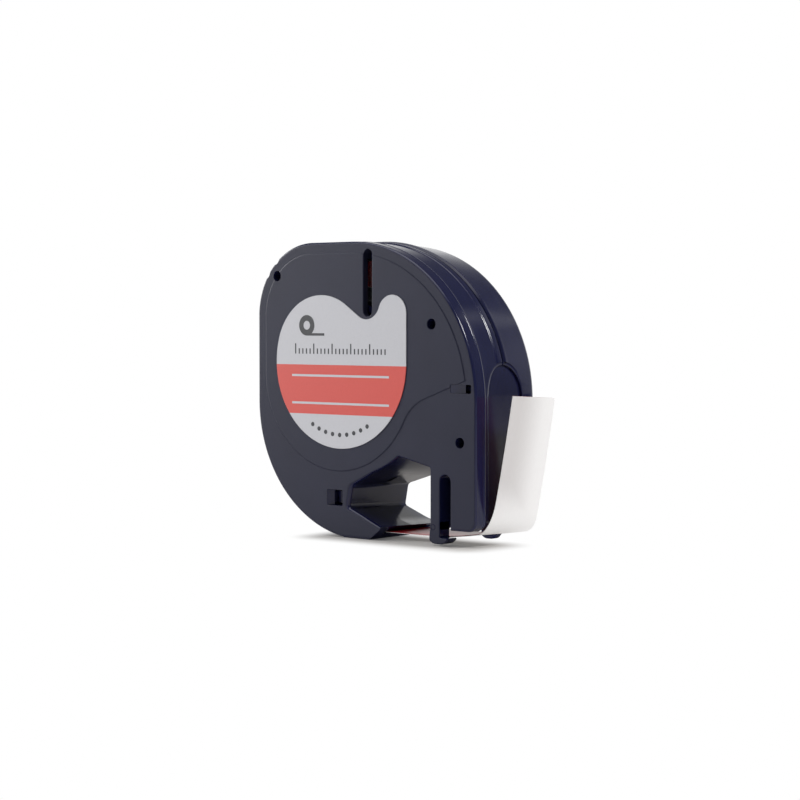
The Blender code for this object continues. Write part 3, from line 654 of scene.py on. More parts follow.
def opening_outline(corner_round, bevel, back, grow=0.0):
    """Section of the print-head opening, open to the floor; bevel and back run from 0 to 1."""
    moves = [bevel * (near + back * (far - near)) for near, far in zip(OPENING_BEVEL, OPENING_BACK)]
    side, wall, floor, mouth, roof = moves
    below = -BOTTOM_DROP - OVERCUT
    low = (OPENING_LEFT + side - grow, OPENING_WALL_LOW + wall - grow)
    lip = (MOUTH_X, TAPE_LEVEL + MOUTH_RISE + mouth - grow)
    middle = ((low[0] + 2.0 * lip[0]) / 3.0, (low[1] + 2.0 * lip[1]) / 3.0 + floor)
    right = OPENING_RIGHT + grow
    top = roof + grow
    points = [(low[0] + OPENING_LEAN, OPENING_WALL_HIGH + top / 2.0), low, middle, lip]
    points += [(MOUTH_X - MOUTH_BEVEL, below), (right, below), (right, OPENING_RIGHT_TOP + top)]
    floor_round, lip_round, roof_round = OPENING_ROUNDS
    radii = [corner_round, corner_round, floor_round, lip_round, 0.0, 0.0, corner_round]
    curve = arc(ROLL_CENTRE, DRUM_RADIUS, *OPENING_ROOF_SPAN)
    radii += [roof_round] * len(curve)
    return soften(points + [(x, z + top) for x, z in curve], radii)


def opening_tool(corner_round, face):
    """Cutter for the opening: rounded over at the front, wider and lower towards the back."""
    turns = [pi / 2.0 * i / 8 for i in range(9)]
    edge, grow = OPENING_REAR_EDGE
    sections = [(face - OVERCUT, opening_outline(corner_round, 0.0, 0.0))]
    sections += [(face + OPENING_BEVEL_DEPTH * (1.0 - cos(t)), opening_outline(corner_round, sin(t), 0.0))
                 for t in turns]
    sections += [(DEPTH - edge, opening_outline(corner_round, 1.0, 1.0))]
    sections += [(DEPTH + past, opening_outline(corner_round, 1.0, 1.0, grow)) for past in (0.0, OVERCUT)]
    return loft("tool", sections)


def right_pocket():
    """Hollow between drum, right wall and leg."""
    wall = WALL + EXIT_RECESS_DEPTH
    left = LEG_SLOT_LEFT + LEG_SLOT_WIDTH + WALL
    right = RIGHT_REACH - wall
    floor = WALL - LEG_DROP
    points = arc(ROLL_CENTRE, DRUM_RADIUS, *POCKET_DRUM_SPAN)
    points += [(OPENING_RIGHT + WALL, OPENING_RIGHT_TOP + 2.0 * WALL)]
    points += [(left, LEG_SLOT_TOP + 2.0 * WALL), (left, floor), (right, floor), (right, RIGHT_CENTRE[1])]
    return points + arc(RIGHT_CENTRE, RIGHT_ARC_RADIUS - wall, *POCKET_RIGHT_SPAN)


def tape_channel():
    """Hollow that carries the tape from the drum past the roller to the mouth."""
    floor = LIP - BOTTOM_DROP
    roof = TAPE_LEVEL + CHANNEL_ROOM
    end = MOUTH_X + 2.0 * OVERCUT
    x, z = ROLLER_PLACE
    points = lower_arc(LOWER_ARC_RADIUS - LIP, CHANNEL_START, floor)
    points += [(end, floor), (end, roof), (MOUTH_X - CHANNEL_RISE, roof)]
    points += [(OPENING_LEFT - CHANNEL_RISE, OPENING_WALL_LOW - LIP)]
    points += [(x + ROLLER_BESIDE, z), (x + ROLLER_BESIDE / 2.0, z + ROLLER_BESIDE)]
    return points + [polar(ROLL_CENTRE, CORE_RADIUS, angle) for angle in CHANNEL_DRUM_ANGLES]


def leg_slot():
    """Slot in the leg, open at the bottom."""
    radius = LEG_SLOT_WIDTH / 2.0
    floor = -LEG_DROP - OVERCUT
    points = [(LEG_SLOT_LEFT, floor), (LEG_SLOT_LEFT + LEG_SLOT_WIDTH, floor)]
    return points + arc((LEG_SLOT_LEFT + radius, LEG_SLOT_TOP - radius), radius, 0.0, 180.0, SLOT_STEP)


def foot_outline(reach, sole):
    """Foot of the leg post with its toe beside the tape."""
    left = OPENING_RIGHT - FOOT_STEP
    toe = LEG_SLOT_LEFT + reach
    points = [(OPENING_RIGHT, FOOT_TOP), (left, TOE_LEVEL), (left, sole + FOOT_CORNER)]
    points += [(OPENING_RIGHT + FOOT_CORNER, sole), (toe - TOE_SLOPE, sole), (toe, TOE_LEVEL - FOOT_STEP)]
    points += [(toe, TOE_LEVEL), (LEG_SLOT_LEFT, TOE_LEVEL), (LEG_SLOT_LEFT, FOOT_TOP)]
    return soften(points, FOOT_ROUND, 4)


def standing_pad():
    """Flat under the arm that the cassette stands on."""
    left = STANDING_RIGHT - STANDING_FLAT
    top = STANDING_HEIGHT - BOTTOM_DROP
    return [(left, -BOTTOM_DROP), (STANDING_RIGHT, -BOTTOM_DROP), (STANDING_RIGHT, top), (left, top)]


def exit_chamfer():
    """Corner taken off the leg where the tape turns up."""
    low = -LEG_DROP - OVERCUT
    right = RIGHT_REACH + OVERCUT
    return [(RIGHT_REACH - EXIT_CHAMFER, low), (right, low), (right, EXIT_CHAMFER - LEG_DROP)]


def exit_recess():
    """Arch-topped relief in the right wall, as a cutter along X; its lip dies out below the arch."""
    floor = -LEG_DROP - OVERCUT
    points = [(MIDDLE - EXIT_RECESS_HALF, floor), (MIDDLE + EXIT_RECESS_HALF, floor)]
    for turn in map(radians, range(0, 181, 6)):
        level = EXIT_RECESS_SPRING + EXIT_RECESS_RISE * sin(turn)
        points.append((MIDDLE + EXIT_RECESS_HALF * cos(turn), level))
    rise, reach = EXIT_LIP
    top = EXIT_RECESS_DEPTH - BAND_STEP
    lip = [(top - drop * rise, out * reach) for drop, out in EXIT_LIP_CURVE]
    tool = profile_loft("tool", points, [(0.0, 0.0), *lip, (EXIT_RECESS_DEPTH + OVERCUT, reach)])
    with editing(tool) as body:
        body.verts.ensure_lookup_table()
        for i in range(2, len(points) // 2 + 1):
            bmesh.ops.connect_verts(body, verts=[body.verts[i], body.verts[len(points) + 1 - i]])
        for vert in body.verts:
            if vert.co.z < EXIT_RECESS_SPRING - OVERCUT:
                vert.co.x = MIDDLE + copysign(EXIT_RECESS_HALF, vert.co.x - MIDDLE)
    start = RIGHT_REACH - EXIT_RECESS_DEPTH
    tool.data.transform(Matrix(((0, 1, 0, start), (1, 0, 0, 0), (0, 0, 1, 0), (0, 0, 0, 1))))
    tool.data.flip_normals()
    for vertex in tool.data.vertices:
        vertex.co.x -= right_drop(vertex.co.z)
    return tool


def relief_backing():
    """Strip behind the parting gap, just under the floor of the relief."""
    start = RIGHT_REACH - EXIT_RECESS_DEPTH - BACKING_SINK
    low = WALL - LEG_DROP
    high = EXIT_RECESS_SPRING + EXIT_RECESS_RISE - BACKING_ROOM
    levels = [low + (high - low) * i / BACKING_STEPS for i in range(BACKING_STEPS + 1)]
    points = [(start - right_drop(z), z) for z in levels]
    points += [(start - right_drop(z) - BACKING_THICKNESS, z) for z in reversed(levels)]
    return prism("tongue", points, COVER_BACK + PROUD, SHELL_FRONT + JOIN)


def window_outline():
    """Slot that shows how much tape is left."""
    radius = WINDOW_WIDTH / 2.0
    points = arc((WINDOW_X, WINDOW_LOW + radius), radius, 180.0, 360.0, SLOT_STEP)
    return points + arc((WINDOW_X, WINDOW_HIGH - radius), radius, 0.0, 180.0, SLOT_STEP)


def pin_places():
    """Pins on the shoulder, beside the drum and in the leg."""
    return (
        polar(CORNER_CENTRE, CORNER_RADIUS - PIN_BOSS_RADIUS, PIN_SHOULDER_ANGLE),
        polar(ROLL_CENTRE, CHAMBER_RADIUS + PIN_BOSS_RADIUS, PIN_DRUM_ANGLE),
        PIN_LEG,
    )


def label_outline():
    """Face label, anticlockwise: circle, ear, notch round the window slot, lobe."""
    centre = LABEL_CENTRE
    ear = (centre[0] + LABEL_RADIUS - LABEL_EAR_RADIUS, centre[1] + LABEL_EAR_RISE)
    notch_z = WINDOW_LOW - LABEL_WINDOW_ROOM + LABEL_NOTCH_RADIUS
    reach = LABEL_EAR_RADIUS + LABEL_NOTCH_RADIUS
    notch = (ear[0] - sqrt(reach ** 2 - (notch_z - ear[1]) ** 2), notch_z)
    lobe = polar(centre, LABEL_RADIUS - LABEL_LOBE_RADIUS, LABEL_LOBE_ANGLE)
    ear_end = degrees(atan2(notch[1] - ear[1], notch[0] - ear[0]))
    span = (notch[0] - lobe[0], notch[1] - lobe[1])
    lean = degrees(acos((LABEL_LOBE_RADIUS + LABEL_NOTCH_RADIUS) / hypot(*span)))
    lobe_start = degrees(atan2(span[1], span[0])) + lean
    points = arc(centre, LABEL_RADIUS, LABEL_LOBE_ANGLE, 360.0)
    points += arc(ear, LABEL_EAR_RADIUS, 0.0, ear_end, LABEL_STEP)
    points += arc(notch, LABEL_NOTCH_RADIUS, ear_end + 180.0, lobe_start + 180.0, LABEL_STEP)[1:]
    return points + arc(lobe, LABEL_LOBE_RADIUS, lobe_start, LABEL_LOBE_ANGLE)[:-1]


# Node helpers

def set_inputs(node, inputs):
    """Fill or link inputs of a node by name or number."""
    for key, value in inputs.items():
        if isinstance(value, bpy.types.NodeSocket):
            node.id_data.links.new(value, node.inputs[key])
        else:
            node.inputs[key].default_value = value


def add_node(tree, kind, inputs=None, output=None, **settings):
    """Add one node with its settings and inputs, and return its named output or the first in use."""
    node = tree.nodes.new(kind)
    for key, value in settings.items():
        setattr(node, key, value)
    set_inputs(node, inputs or {})
    return node.outputs[output] if output else next((s for s in node.outputs if s.enabled), None)


def calc(tree, operation, *values, kind="ShaderNodeMath"):
    """Math node on its values in order."""
    return add_node(tree, kind, dict(enumerate(values)), operation=operation)


def vector(tree, operation, *values):
    """Vector math node on its values in order."""
    return calc(tree, operation, *values, kind="ShaderNodeVectorMath")


def axis(tree, place, name):
    """One axis of a place."""
    return add_node(tree, "ShaderNodeSeparateXYZ", {"Vector": place}, name)


def noise(tree, size, detail, place=None):
    """Noise with marks of a real size, in the object's own coordinates."""
    place = place or add_node(tree, "ShaderNodeTexCoord", output="Object")
    return add_node(tree, "ShaderNodeTexNoise", {"Vector": place, "Scale": 1.0 / size, "Detail": detail})


def blend(tree, share, first, second):
    """Colour between two."""
    return add_node(tree, "ShaderNodeMix", {"Factor": share, "A": first, "B": second}, data_type="RGBA")


def spread(tree, value, low, high, start=0.0, end=1.0, interpolation="LINEAR"):
    """Value from start to end, spread over low to high."""
    return add_node(tree, "ShaderNodeMapRange", {
        "Value": value, "From Min": start, "From Max": end, "To Min": low, "To Max": high},
        interpolation_type=interpolation)


def fade(tree, value, start, end, low=0.0):
    """Soft rise to 1 as the value goes from start to end."""
    return spread(tree, value, low, 1.0, start, end, "SMOOTHSTEP")


def bump(tree, height, strength, distance):
    """Fine relief in the shading."""
    return add_node(tree, "ShaderNodeBump", {"Strength": strength, "Distance": distance, "Height": height})


def seen(tree):
    """1 for what the camera sees, also through clear film, else 0."""
    rays = add_node(tree, "ShaderNodeLightPath").node.outputs
    return calc(tree, "MAXIMUM", rays["Is Camera Ray"], rays["Is Transmission Ray"])


# Materials

def new_material(name):
    """Node material with its tree and its Principled shader."""
    material = bpy.data.materials.new(name)
    material.use_nodes = True
    return material, material.node_tree, material.node_tree.nodes["Principled BSDF"]


def face_plastic(colour):
    """Moulded ABS, spark-eroded mould: a fine even grain that scatters the gloss.

    The grain is about 0.15 mm on the real part and is drawn at 0.3 mm so that it shows.
    """
    material, tree, shader = new_material("moulded_abs_grained")
    grain = noise(tree, 0.30 * MM, 3.0)
    cloud = noise(tree, 9.0 * MM, 2.0)
    set_inputs(shader, {
        "Base Color": blend(tree, cloud, linear(colour, 0.86), linear(colour, 1.14)),
        "Roughness": spread(tree, grain, 0.40, 0.54, 0.3, 0.7),
        "Normal": bump(tree, grain, 0.35, 0.03 * MM), "IOR": 1.53, "Specular IOR Level": 0.25})
    return material


def side_plastic(colour):
    """Moulded ABS, polished mould: glossy, with the faint waves and rub marks of a handled case."""
    material, tree, shader = new_material("moulded_abs_polished")
    wave = noise(tree, 5.0 * MM, 1.0)
    set_inputs(shader, {
        "Base Color": blend(tree, wave, linear(colour, 0.9), linear(colour, 1.1)),
        "Roughness": spread(tree, noise(tree, 2.5 * MM, 2.0), 0.14, 0.20, 0.3, 0.75),
        "Normal": bump(tree, wave, 0.12, 0.05 * MM), "IOR": 1.53})
    return material


def printed_film(name, colour, roughness):
    """Printed polypropylene label film: satin, with a faint mottle of the ink."""
    material, tree, shader = new_material(name)
    mottle = noise(tree, 0.5 * MM, 4.0)
    set_inputs(shader, {
        "Base Color": blend(tree, mottle, linear(colour, 0.95), linear(colour, 1.04)),
        "Roughness": spread(tree, mottle, roughness - 0.06, roughness + 0.06), "IOR": 1.49})
    return material


def release_liner(colour, shade):
    """Silicone-coated paper liner: soft sheen, fine fibres along the strip.

    Painted shade and light: the colour goes from a greyer painted shade near the front edge and higher up to
    white towards the back edge and the bottom.
    """
    material, tree, shader = new_material("silicone_paper_liner")
    place = add_node(tree, "ShaderNodeTexCoord", output="Object")
    drawn = add_node(tree, "ShaderNodeMapping", {"Vector": place, "Scale": (1.0, 1.0, 0.25)})
    fibre = noise(tree, 0.35 * MM, 5.0, drawn)
    # Painted light and shade: the liner whitens towards its back edge and towards the bottom, and keeps the
    # painted shade near the front edge higher up
    painted_light_to_back = fade(tree, axis(tree, place, "Y"), STRIP_LOW.y + 2.0 * MM, STRIP_HIGH.y - 1.0 * MM)
    clear = fade(tree, axis(tree, place, "Z"), 14.0 * MM, 4.0 * MM)
    base = blend(tree, calc(tree, "MAXIMUM", painted_light_to_back, clear), linear(shade), linear(colour))
    set_inputs(shader, {
        "Base Color": vector(tree, "MULTIPLY", base, spread(tree, fibre, 0.96, 1.02)),
        "Roughness": spread(tree, fibre, 0.42, 0.58),
        "Normal": bump(tree, fibre, 0.15, 0.01 * MM), "IOR": 1.45})
    return material


def core_plastic(colour):
    """Moulded polystyrene: matt black with a slight cloudiness."""
    material, tree, shader = new_material("moulded_polystyrene")
    cloud = noise(tree, 1.5 * MM, 3.0)
    set_inputs(shader, {
        "Base Color": blend(tree, cloud, linear(colour), linear(colour, 1.5)),
        "Roughness": spread(tree, cloud, 0.4, 0.6)})
    return material


def slip_film(colour):
    """Clear polypropylene disc, slightly hazy from handling; light passes straight through it."""
    material, tree, shader = new_material("clear_polypropylene")
    set_inputs(shader, {
        "Base Color": linear(colour), "Roughness": spread(tree, noise(tree, 2.0 * MM, 3.0), 0.08, 0.2),
        "Alpha": 0.1, "IOR": 1.49})
    return material


def studio_floor(colour):
    """Matt white sweep that keeps the shadow beside the part and burns out to white further off."""
    material, tree, shader = new_material("matt_white_sweep")
    set_inputs(shader, {
        "Base Color": blend(tree, noise(tree, 60.0 * MM, 2.0), linear(colour, 0.985), linear(colour)),
        "Roughness": 0.9, "Specular IOR Level": 0.0})
    away = vector(tree, "ADD", add_node(tree, "ShaderNodeTexCoord", output="Object"), SHADOW_SHIFT)
    away = vector(tree, "SUBTRACT", vector(tree, "ABSOLUTE", away), SHADOW_HALF)
    away = vector(tree, "LENGTH", vector(tree, "MAXIMUM", away, (0.0, 0.0, 0.0)))
    lit = calc(tree, "ADD", add_node(tree, "ShaderNodeLightPath", output="Is Diffuse Ray"), seen(tree))
    share = calc(tree, "MULTIPLY", lit, fade(tree, away, 0.0, SHADOW_FADE, 0.08))
    white = add_node(tree, "ShaderNodeEmission", {"Color": (1.0, 1.0, 1.0, 1.0), "Strength": 1.0})
    mixed = add_node(tree, "ShaderNodeMixShader", {0: share, 1: shader.outputs["BSDF"], 2: white})
    set_inputs(tree.nodes["Material Output"], {"Surface": mixed})
    return material


# Geometry Nodes trees

def node_group(name, counts, sizes):
    """Geometry Nodes tree with one geometry output and named inputs, the last a material."""
    group = bpy.data.node_groups.new(name, "GeometryNodeTree")
    group.interface.new_socket("Geometry", in_out="OUTPUT", socket_type="NodeSocketGeometry")
    kinds = dict.fromkeys(counts, "Int") | dict.fromkeys(sizes, "Float") | {"Material": "Material"}
    for label, kind in kinds.items():
        group.interface.new_socket(label, in_out="INPUT", socket_type="NodeSocket" + kind)
    return group, add_node(group, "NodeGroupInput").node.outputs


def finish_tree(group, geometry, given, turn=0.0):
    """End a tree with plain geometry, turned about X, that carries its material."""
    turned = add_node(group, "GeometryNodeTransform", {
        "Geometry": geometry, "Rotation": (radians(turn), 0.0, 0.0)})
    real = add_node(group, "GeometryNodeRealizeInstances", {"Geometry": turned})
    painted = add_node(group, "GeometryNodeSetMaterial", {"Geometry": real, "Material": given["Material"]})
    add_node(group, "NodeGroupOutput", {"Geometry": painted})
    return group


def grow(name, group, values):
    """Run a Geometry Nodes tree once and keep its result as a plain mesh."""
    item = new_object(name)
    step = item.modifiers.new("grow", "NODES")
    step.node_group = group
    for socket in group.interface.items_tree:
        if socket.in_out == "INPUT":
            step[socket.identifier] = values[socket.name]
    bake(item)
    return item


def scale_tree():
    """Row of upright marks, every fifth one long."""
    group, given = node_group("printed_scale", ["Count"], ["Pitch", "Width", "Short", "Long", "Thickness"])
    step = add_node(group, "ShaderNodeCombineXYZ", {"X": given["Pitch"]})
    line = add_node(group, "GeometryNodeMeshLine", {"Count": given["Count"], "Offset": step})
    fifth = calc(group, "MODULO", add_node(group, "GeometryNodeInputIndex"), 5.0)
    height = spread(group, calc(group, "LESS_THAN", fifth, 0.5), given["Short"], given["Long"])
    size = add_node(group, "ShaderNodeCombineXYZ", {
        "X": given["Width"], "Y": given["Thickness"], "Z": height})
    mark = add_node(group, "GeometryNodeTransform", {
        "Geometry": add_node(group, "GeometryNodeMeshCube"), "Translation": (0.0, 0.0, 0.5)})
    row = add_node(group, "GeometryNodeInstanceOnPoints", {"Points": line, "Instance": mark, "Scale": size})
    return finish_tree(group, row, given)


def dot_tree():
    """Row of round dots along an arc below a centre, facing forward."""
    group, given = node_group("printed_dots", ["Count"], ["Radius", "Start", "Sweep", "Dot", "Thickness"])
    bow = add_node(group, "GeometryNodeCurveArc", {
        "Resolution": given["Count"], "Radius": given["Radius"],
        "Start Angle": given["Start"], "Sweep Angle": given["Sweep"]})
    points = add_node(group, "GeometryNodeCurveToPoints", {"Curve": bow, "Count": given["Count"]})
    dot = add_node(group, "GeometryNodeMeshCylinder", {
        "Vertices": PIN_SIDES, "Radius": given["Dot"], "Depth": given["Thickness"]})
    row = add_node(group, "GeometryNodeInstanceOnPoints", {"Points": points, "Instance": dot})
    return finish_tree(group, row, given, 90.0)


def winding_tree():
    """Tape wound in a flat spiral round the roll axis."""
    group, given = node_group("wound_tape", [], ["Turns", "Inner", "Outer", "Thickness", "Width"])
    spiral = add_node(group, "GeometryNodeCurveSpiral", {
        "Resolution": 90, "Rotations": given["Turns"],
        "Start Radius": given["Inner"], "End Radius": given["Outer"], "Height": 0.0})
    upright = add_node(group, "GeometryNodeSetCurveNormal", {"Curve": spiral}, mode="Z_UP")
    section = add_node(group, "GeometryNodeCurvePrimitiveQuadrilateral", {
        "Width": given["Thickness"], "Height": given["Width"]})
    band = add_node(group, "GeometryNodeCurveToMesh", {
        "Curve": upright, "Profile Curve": section, "Fill Caps": True})
    return finish_tree(group, band, given, 90.0)


# Steps that the two halves of the case share

def cut_common(item, s, face, start, end):
    """Hollows, between two depths, and openings that both halves of the case share."""
    cut(item, prism("tool", circle(ROLL_CENTRE, CHAMBER_RADIUS, WIDE_SIDES), start, end),
        prism("tool", right_pocket(), start, end))
    front, back = MIDDLE - CHANNEL_HALF, MIDDLE + CHANNEL_HALF
    cut(item, prism("tool", tape_channel(), max(start, front), min(end, back)), exit_recess())
    tools = [opening_tool(s.corner_round, s.panel_relief)]
    tools.append(through_tool(leg_slot(), face, DEPTH, s.hole_round))
    reach = CORNER_RADIUS + NOTCH_RADIUS - NOTCH_DEPTH
    for i in range(s.notch_count):
        spot = polar(CORNER_CENTRE, reach, NOTCH_FIRST_ANGLE + i * NOTCH_PITCH_ANGLE)
        tools.append(prism("tool", circle(spot, NOTCH_RADIUS, PIN_SIDES), -OVERCUT, DEPTH + OVERCUT))
    cut(item, *tools)
    cut(item, prism("tool", exit_chamfer(), front, back))


def hook_nose(x, z, width, height, reach, face):
    """Nose of a snap hook: it starts level with the face and slopes in, with a web down to its arm."""
    left = x - width / 2.0 + HOOK_NOSE_GAP
    outline = rectangle(left + reach / 2.0, z, reach, height - 2.0 * HOOK_NOSE_GAP)
    nose = prism("nose", outline, face + HOOK_NOSE_SINK, HOOK_LEDGE - GAP)
    for vertex in nose.data.vertices:
        if vertex.co.y < HOOK_LEDGE - 2.0 * GAP and vertex.co.x > left + 0.5 * reach:
            vertex.co.y = HOOK_LEDGE - 2.0 * GAP
    inset, thick = HOOK_WEB
    web = rectangle(left + reach - inset, z, thick, height - 2.5 * HOOK_ROOM)
    add(nose, prism("web", web, HOOK_LEDGE - 1.5 * GAP, HOOK_RECESS + JOIN))
    return nose


def paint_case(item, s, base):
    """Grained plastic on the forward faces of the front and in the slot, polished plastic on the rest."""
    item.data.materials.clear()
    for name, make, colour in (("moulded_abs_polished", side_plastic, s.side_colour),
                               ("moulded_abs_grained", face_plastic, s.face_colour)):
        item.data.materials.append(bpy.data.materials.get(name) or make(colour))
    for polygon in item.data.polygons:
        x, y, z = polygon.center
        forward = polygon.normal.y < GRAIN_NORMAL and y < base + GRAIN_SINK
        slot = y < PLATE and abs(x - WINDOW_X) < WINDOW_WIDTH and WINDOW_LOW - GAP < z < WINDOW_HIGH + GAP
        polygon.material_index = 1 if forward or slot else 0


# Operators

class CASSETTE_OT_front_cover(bpy.types.Operator):
    """Front half of the case: rim, drum panel, slot, holes, opening, leg and foot"""

    bl_idname = "cassette.front_cover"
    bl_label = "Front Cover"

    def execute(self, context):
        s = context.scene.cassette_case
        base = s.panel_relief
        rim = rounded_edge(base, s.rim_round, 1, -1)
        rim += crest(BAND_DEPTH - BAND_RUN, RIDGE_WIDTH, s.ridge_height)
        rim += ramp(BAND_DEPTH, BAND_DEPTH + BAND_RUN, 0.0, -BAND_STEP)
        rim += ramp(WAIST_END - WAIST_RUN[0], WAIST_END + WAIST_RUN[1], -BAND_STEP, 0.0, 6)
        rim += [(COVER_BACK + depth, out) for depth, out in PARTING_ROUND]
        cover = profile_loft("front_cover", case_outline(), rim)
        soft = [(drop * base, out * s.panel_slope) for drop, out in PANEL_EDGE]
        soft.append((PLATE - JOIN, soft[-1][1]))
        add(cover, profile_loft("panel", panel_outline(s.panel_rim), soft))
        cut_common(cover, s, base, PLATE, DEPTH)
        add(cover, *[prism("boss", circle(spot, PIN_BOSS_RADIUS, HOLE_SIDES), PLATE - JOIN, COVER_BACK)
                     for spot in pin_places()[1:]])
        add(cover, *[prism("frame", rectangle(x, z, w + 2.0 * HOOK_FRAME, h + 2.0 * HOOK_FRAME),
                           PLATE - JOIN, HOOK_FRAME_DEPTH) for x, z, w, h in HOOK_WINDOWS])
        small = 0.25 * s.hole_round
        tools = [front_tool(circle(spot, PIN_HOLE_RADIUS, HOLE_SIDES), base, small, DEPTH)
                 for spot in pin_places()]
        tools += [front_tool(soften(rectangle(*window), HOOK_CORNER), base, small, HOOK_LEDGE)
                  for window in HOOK_WINDOWS]
        tools.append(front_tool(window_outline(), 0.0, s.hole_round, PLATE + OVERCUT))
        cut(cover, *tools)
        cut(cover, *[prism("tool", rectangle(x + HOOK_NOSE / 2.0, z, w - HOOK_NOSE - PROUD, h - PROUD),
                           HOOK_LEDGE - GAP, DEPTH) for x, z, w, h in HOOK_WINDOWS])
        foot = foot_outline(TOE_REACH, FOOT_SOLE)
        add(cover, rounded_bar("foot", foot, base - PROUD, FOOT_DEPTH, s.hole_round))
        outer, inner = EJECTOR_RADII
        mark = prism("tool", circle(EJECTOR_MARK, outer, HOLE_SIDES), 0.0, base + EJECTOR_DEPTH)
        cut(mark, prism("tool", circle(EJECTOR_MARK, inner, HOLE_SIDES), -OVERCUT, DEPTH))
        cut(cover, mark)
        add(cover, prism("pad", standing_pad(), base + s.rim_round, COVER_BACK))
        smooth(cover)
        paint_case(cover, s, base)
        hand_over(cover, "case_front_cover", "case", "face_plastic", "front_cover")
        return {"FINISHED"}


class CASSETTE_OT_rear_shell(bpy.types.Operator):
    """Rear half of the case: parting bead and tongue, hub, pins, snap hooks and rear foot"""

    bl_idname = "cassette.rear_shell"
    bl_label = "Rear Shell"

    def execute(self, context):
        s = context.scene.cassette_case
        back = DEPTH - PLATE
        bead = SHELL_FRONT + BEAD_WIDTH
        rim = [(SHELL_FRONT, -BAND_STEP)]
        rim += ramp(*[SHELL_FRONT + depth for depth in BEAD_RISE], -0.5 * BAND_STEP, BEAD_HEIGHT)
        rim += ramp(bead - BEAD_FALL, bead, BEAD_HEIGHT, 0.0)
        rim += [(depth, out - REAR_DRAFT) for depth, out in rounded_edge(DEPTH, s.rear_round, -1, -1)[::-1]]
        shell = profile_loft("rear_shell", case_outline(), rim)
        tongue = offset(case_outline(), -TONGUE_SINK)
        add(shell, prism("tongue", tongue, COVER_BACK + PROUD, SHELL_FRONT + JOIN), relief_backing())
        cut_common(shell, s, 0.0, 0.0, back)
        hub = prism("hub", circle(ROLL_CENTRE, HUB_RADIUS, WIDE_SIDES), PLATE + 2.0 * GAP, back + JOIN)
        cut(hub, prism("tool", circle(ROLL_CENTRE, HUB_RADIUS - HUB_WALL, WIDE_SIDES), 0.0, back))
        add(shell, hub)
        pin = [(PIN_RECESS, -PIN_TIP), (PIN_RECESS + PIN_TIP, 0.0), (back + JOIN, 0.0)]
        parts = [profile_loft("pin", circle(spot, PIN_RADIUS, PIN_SIDES), pin) for spot in pin_places()]
        parts.append(prism("pin", circle(ROLLER_PLACE, ROLLER_PIN_RADIUS, PIN_SIDES),
                           MIDDLE - CHANNEL_HALF + GAP, back + JOIN))
        for x, z, w, h in HOOK_WINDOWS:
            arm = rectangle(x + HOOK_NOSE / 2.0, z, w - HOOK_NOSE - 2.0 * HOOK_ROOM, h - 2.0 * HOOK_ROOM)
            parts.append(prism("arm", arm, HOOK_RECESS, back + JOIN))
        add(shell, *parts)
        add(shell, *[hook_nose(*window, reach, s.panel_relief)
                     for window, reach in zip(HOOK_WINDOWS, HOOK_NOSES)])
        foot = foot_outline(REAR_TOE_REACH, REAR_SOLE)
        add(shell, rounded_bar("foot", foot, DEPTH - FOOT_DEPTH, DEPTH - s.rear_round, s.hole_round))
        add(shell, prism("pad", standing_pad(), SHELL_FRONT, DEPTH - s.rear_round))
        under = rectangle(0.0, -BOTTOM_DROP - OVERCUT, 4.0 * BOTTOM_DROP, 2.0 * OVERCUT)
        cut(shell, prism("tool", under, 0.0, DEPTH + OVERCUT))
        smooth(shell)
        paint_case(shell, s, -1.0)
        hand_over(shell, "case_rear_shell", "case", "case_plastic", "rear_shell")
        return {"FINISHED"}


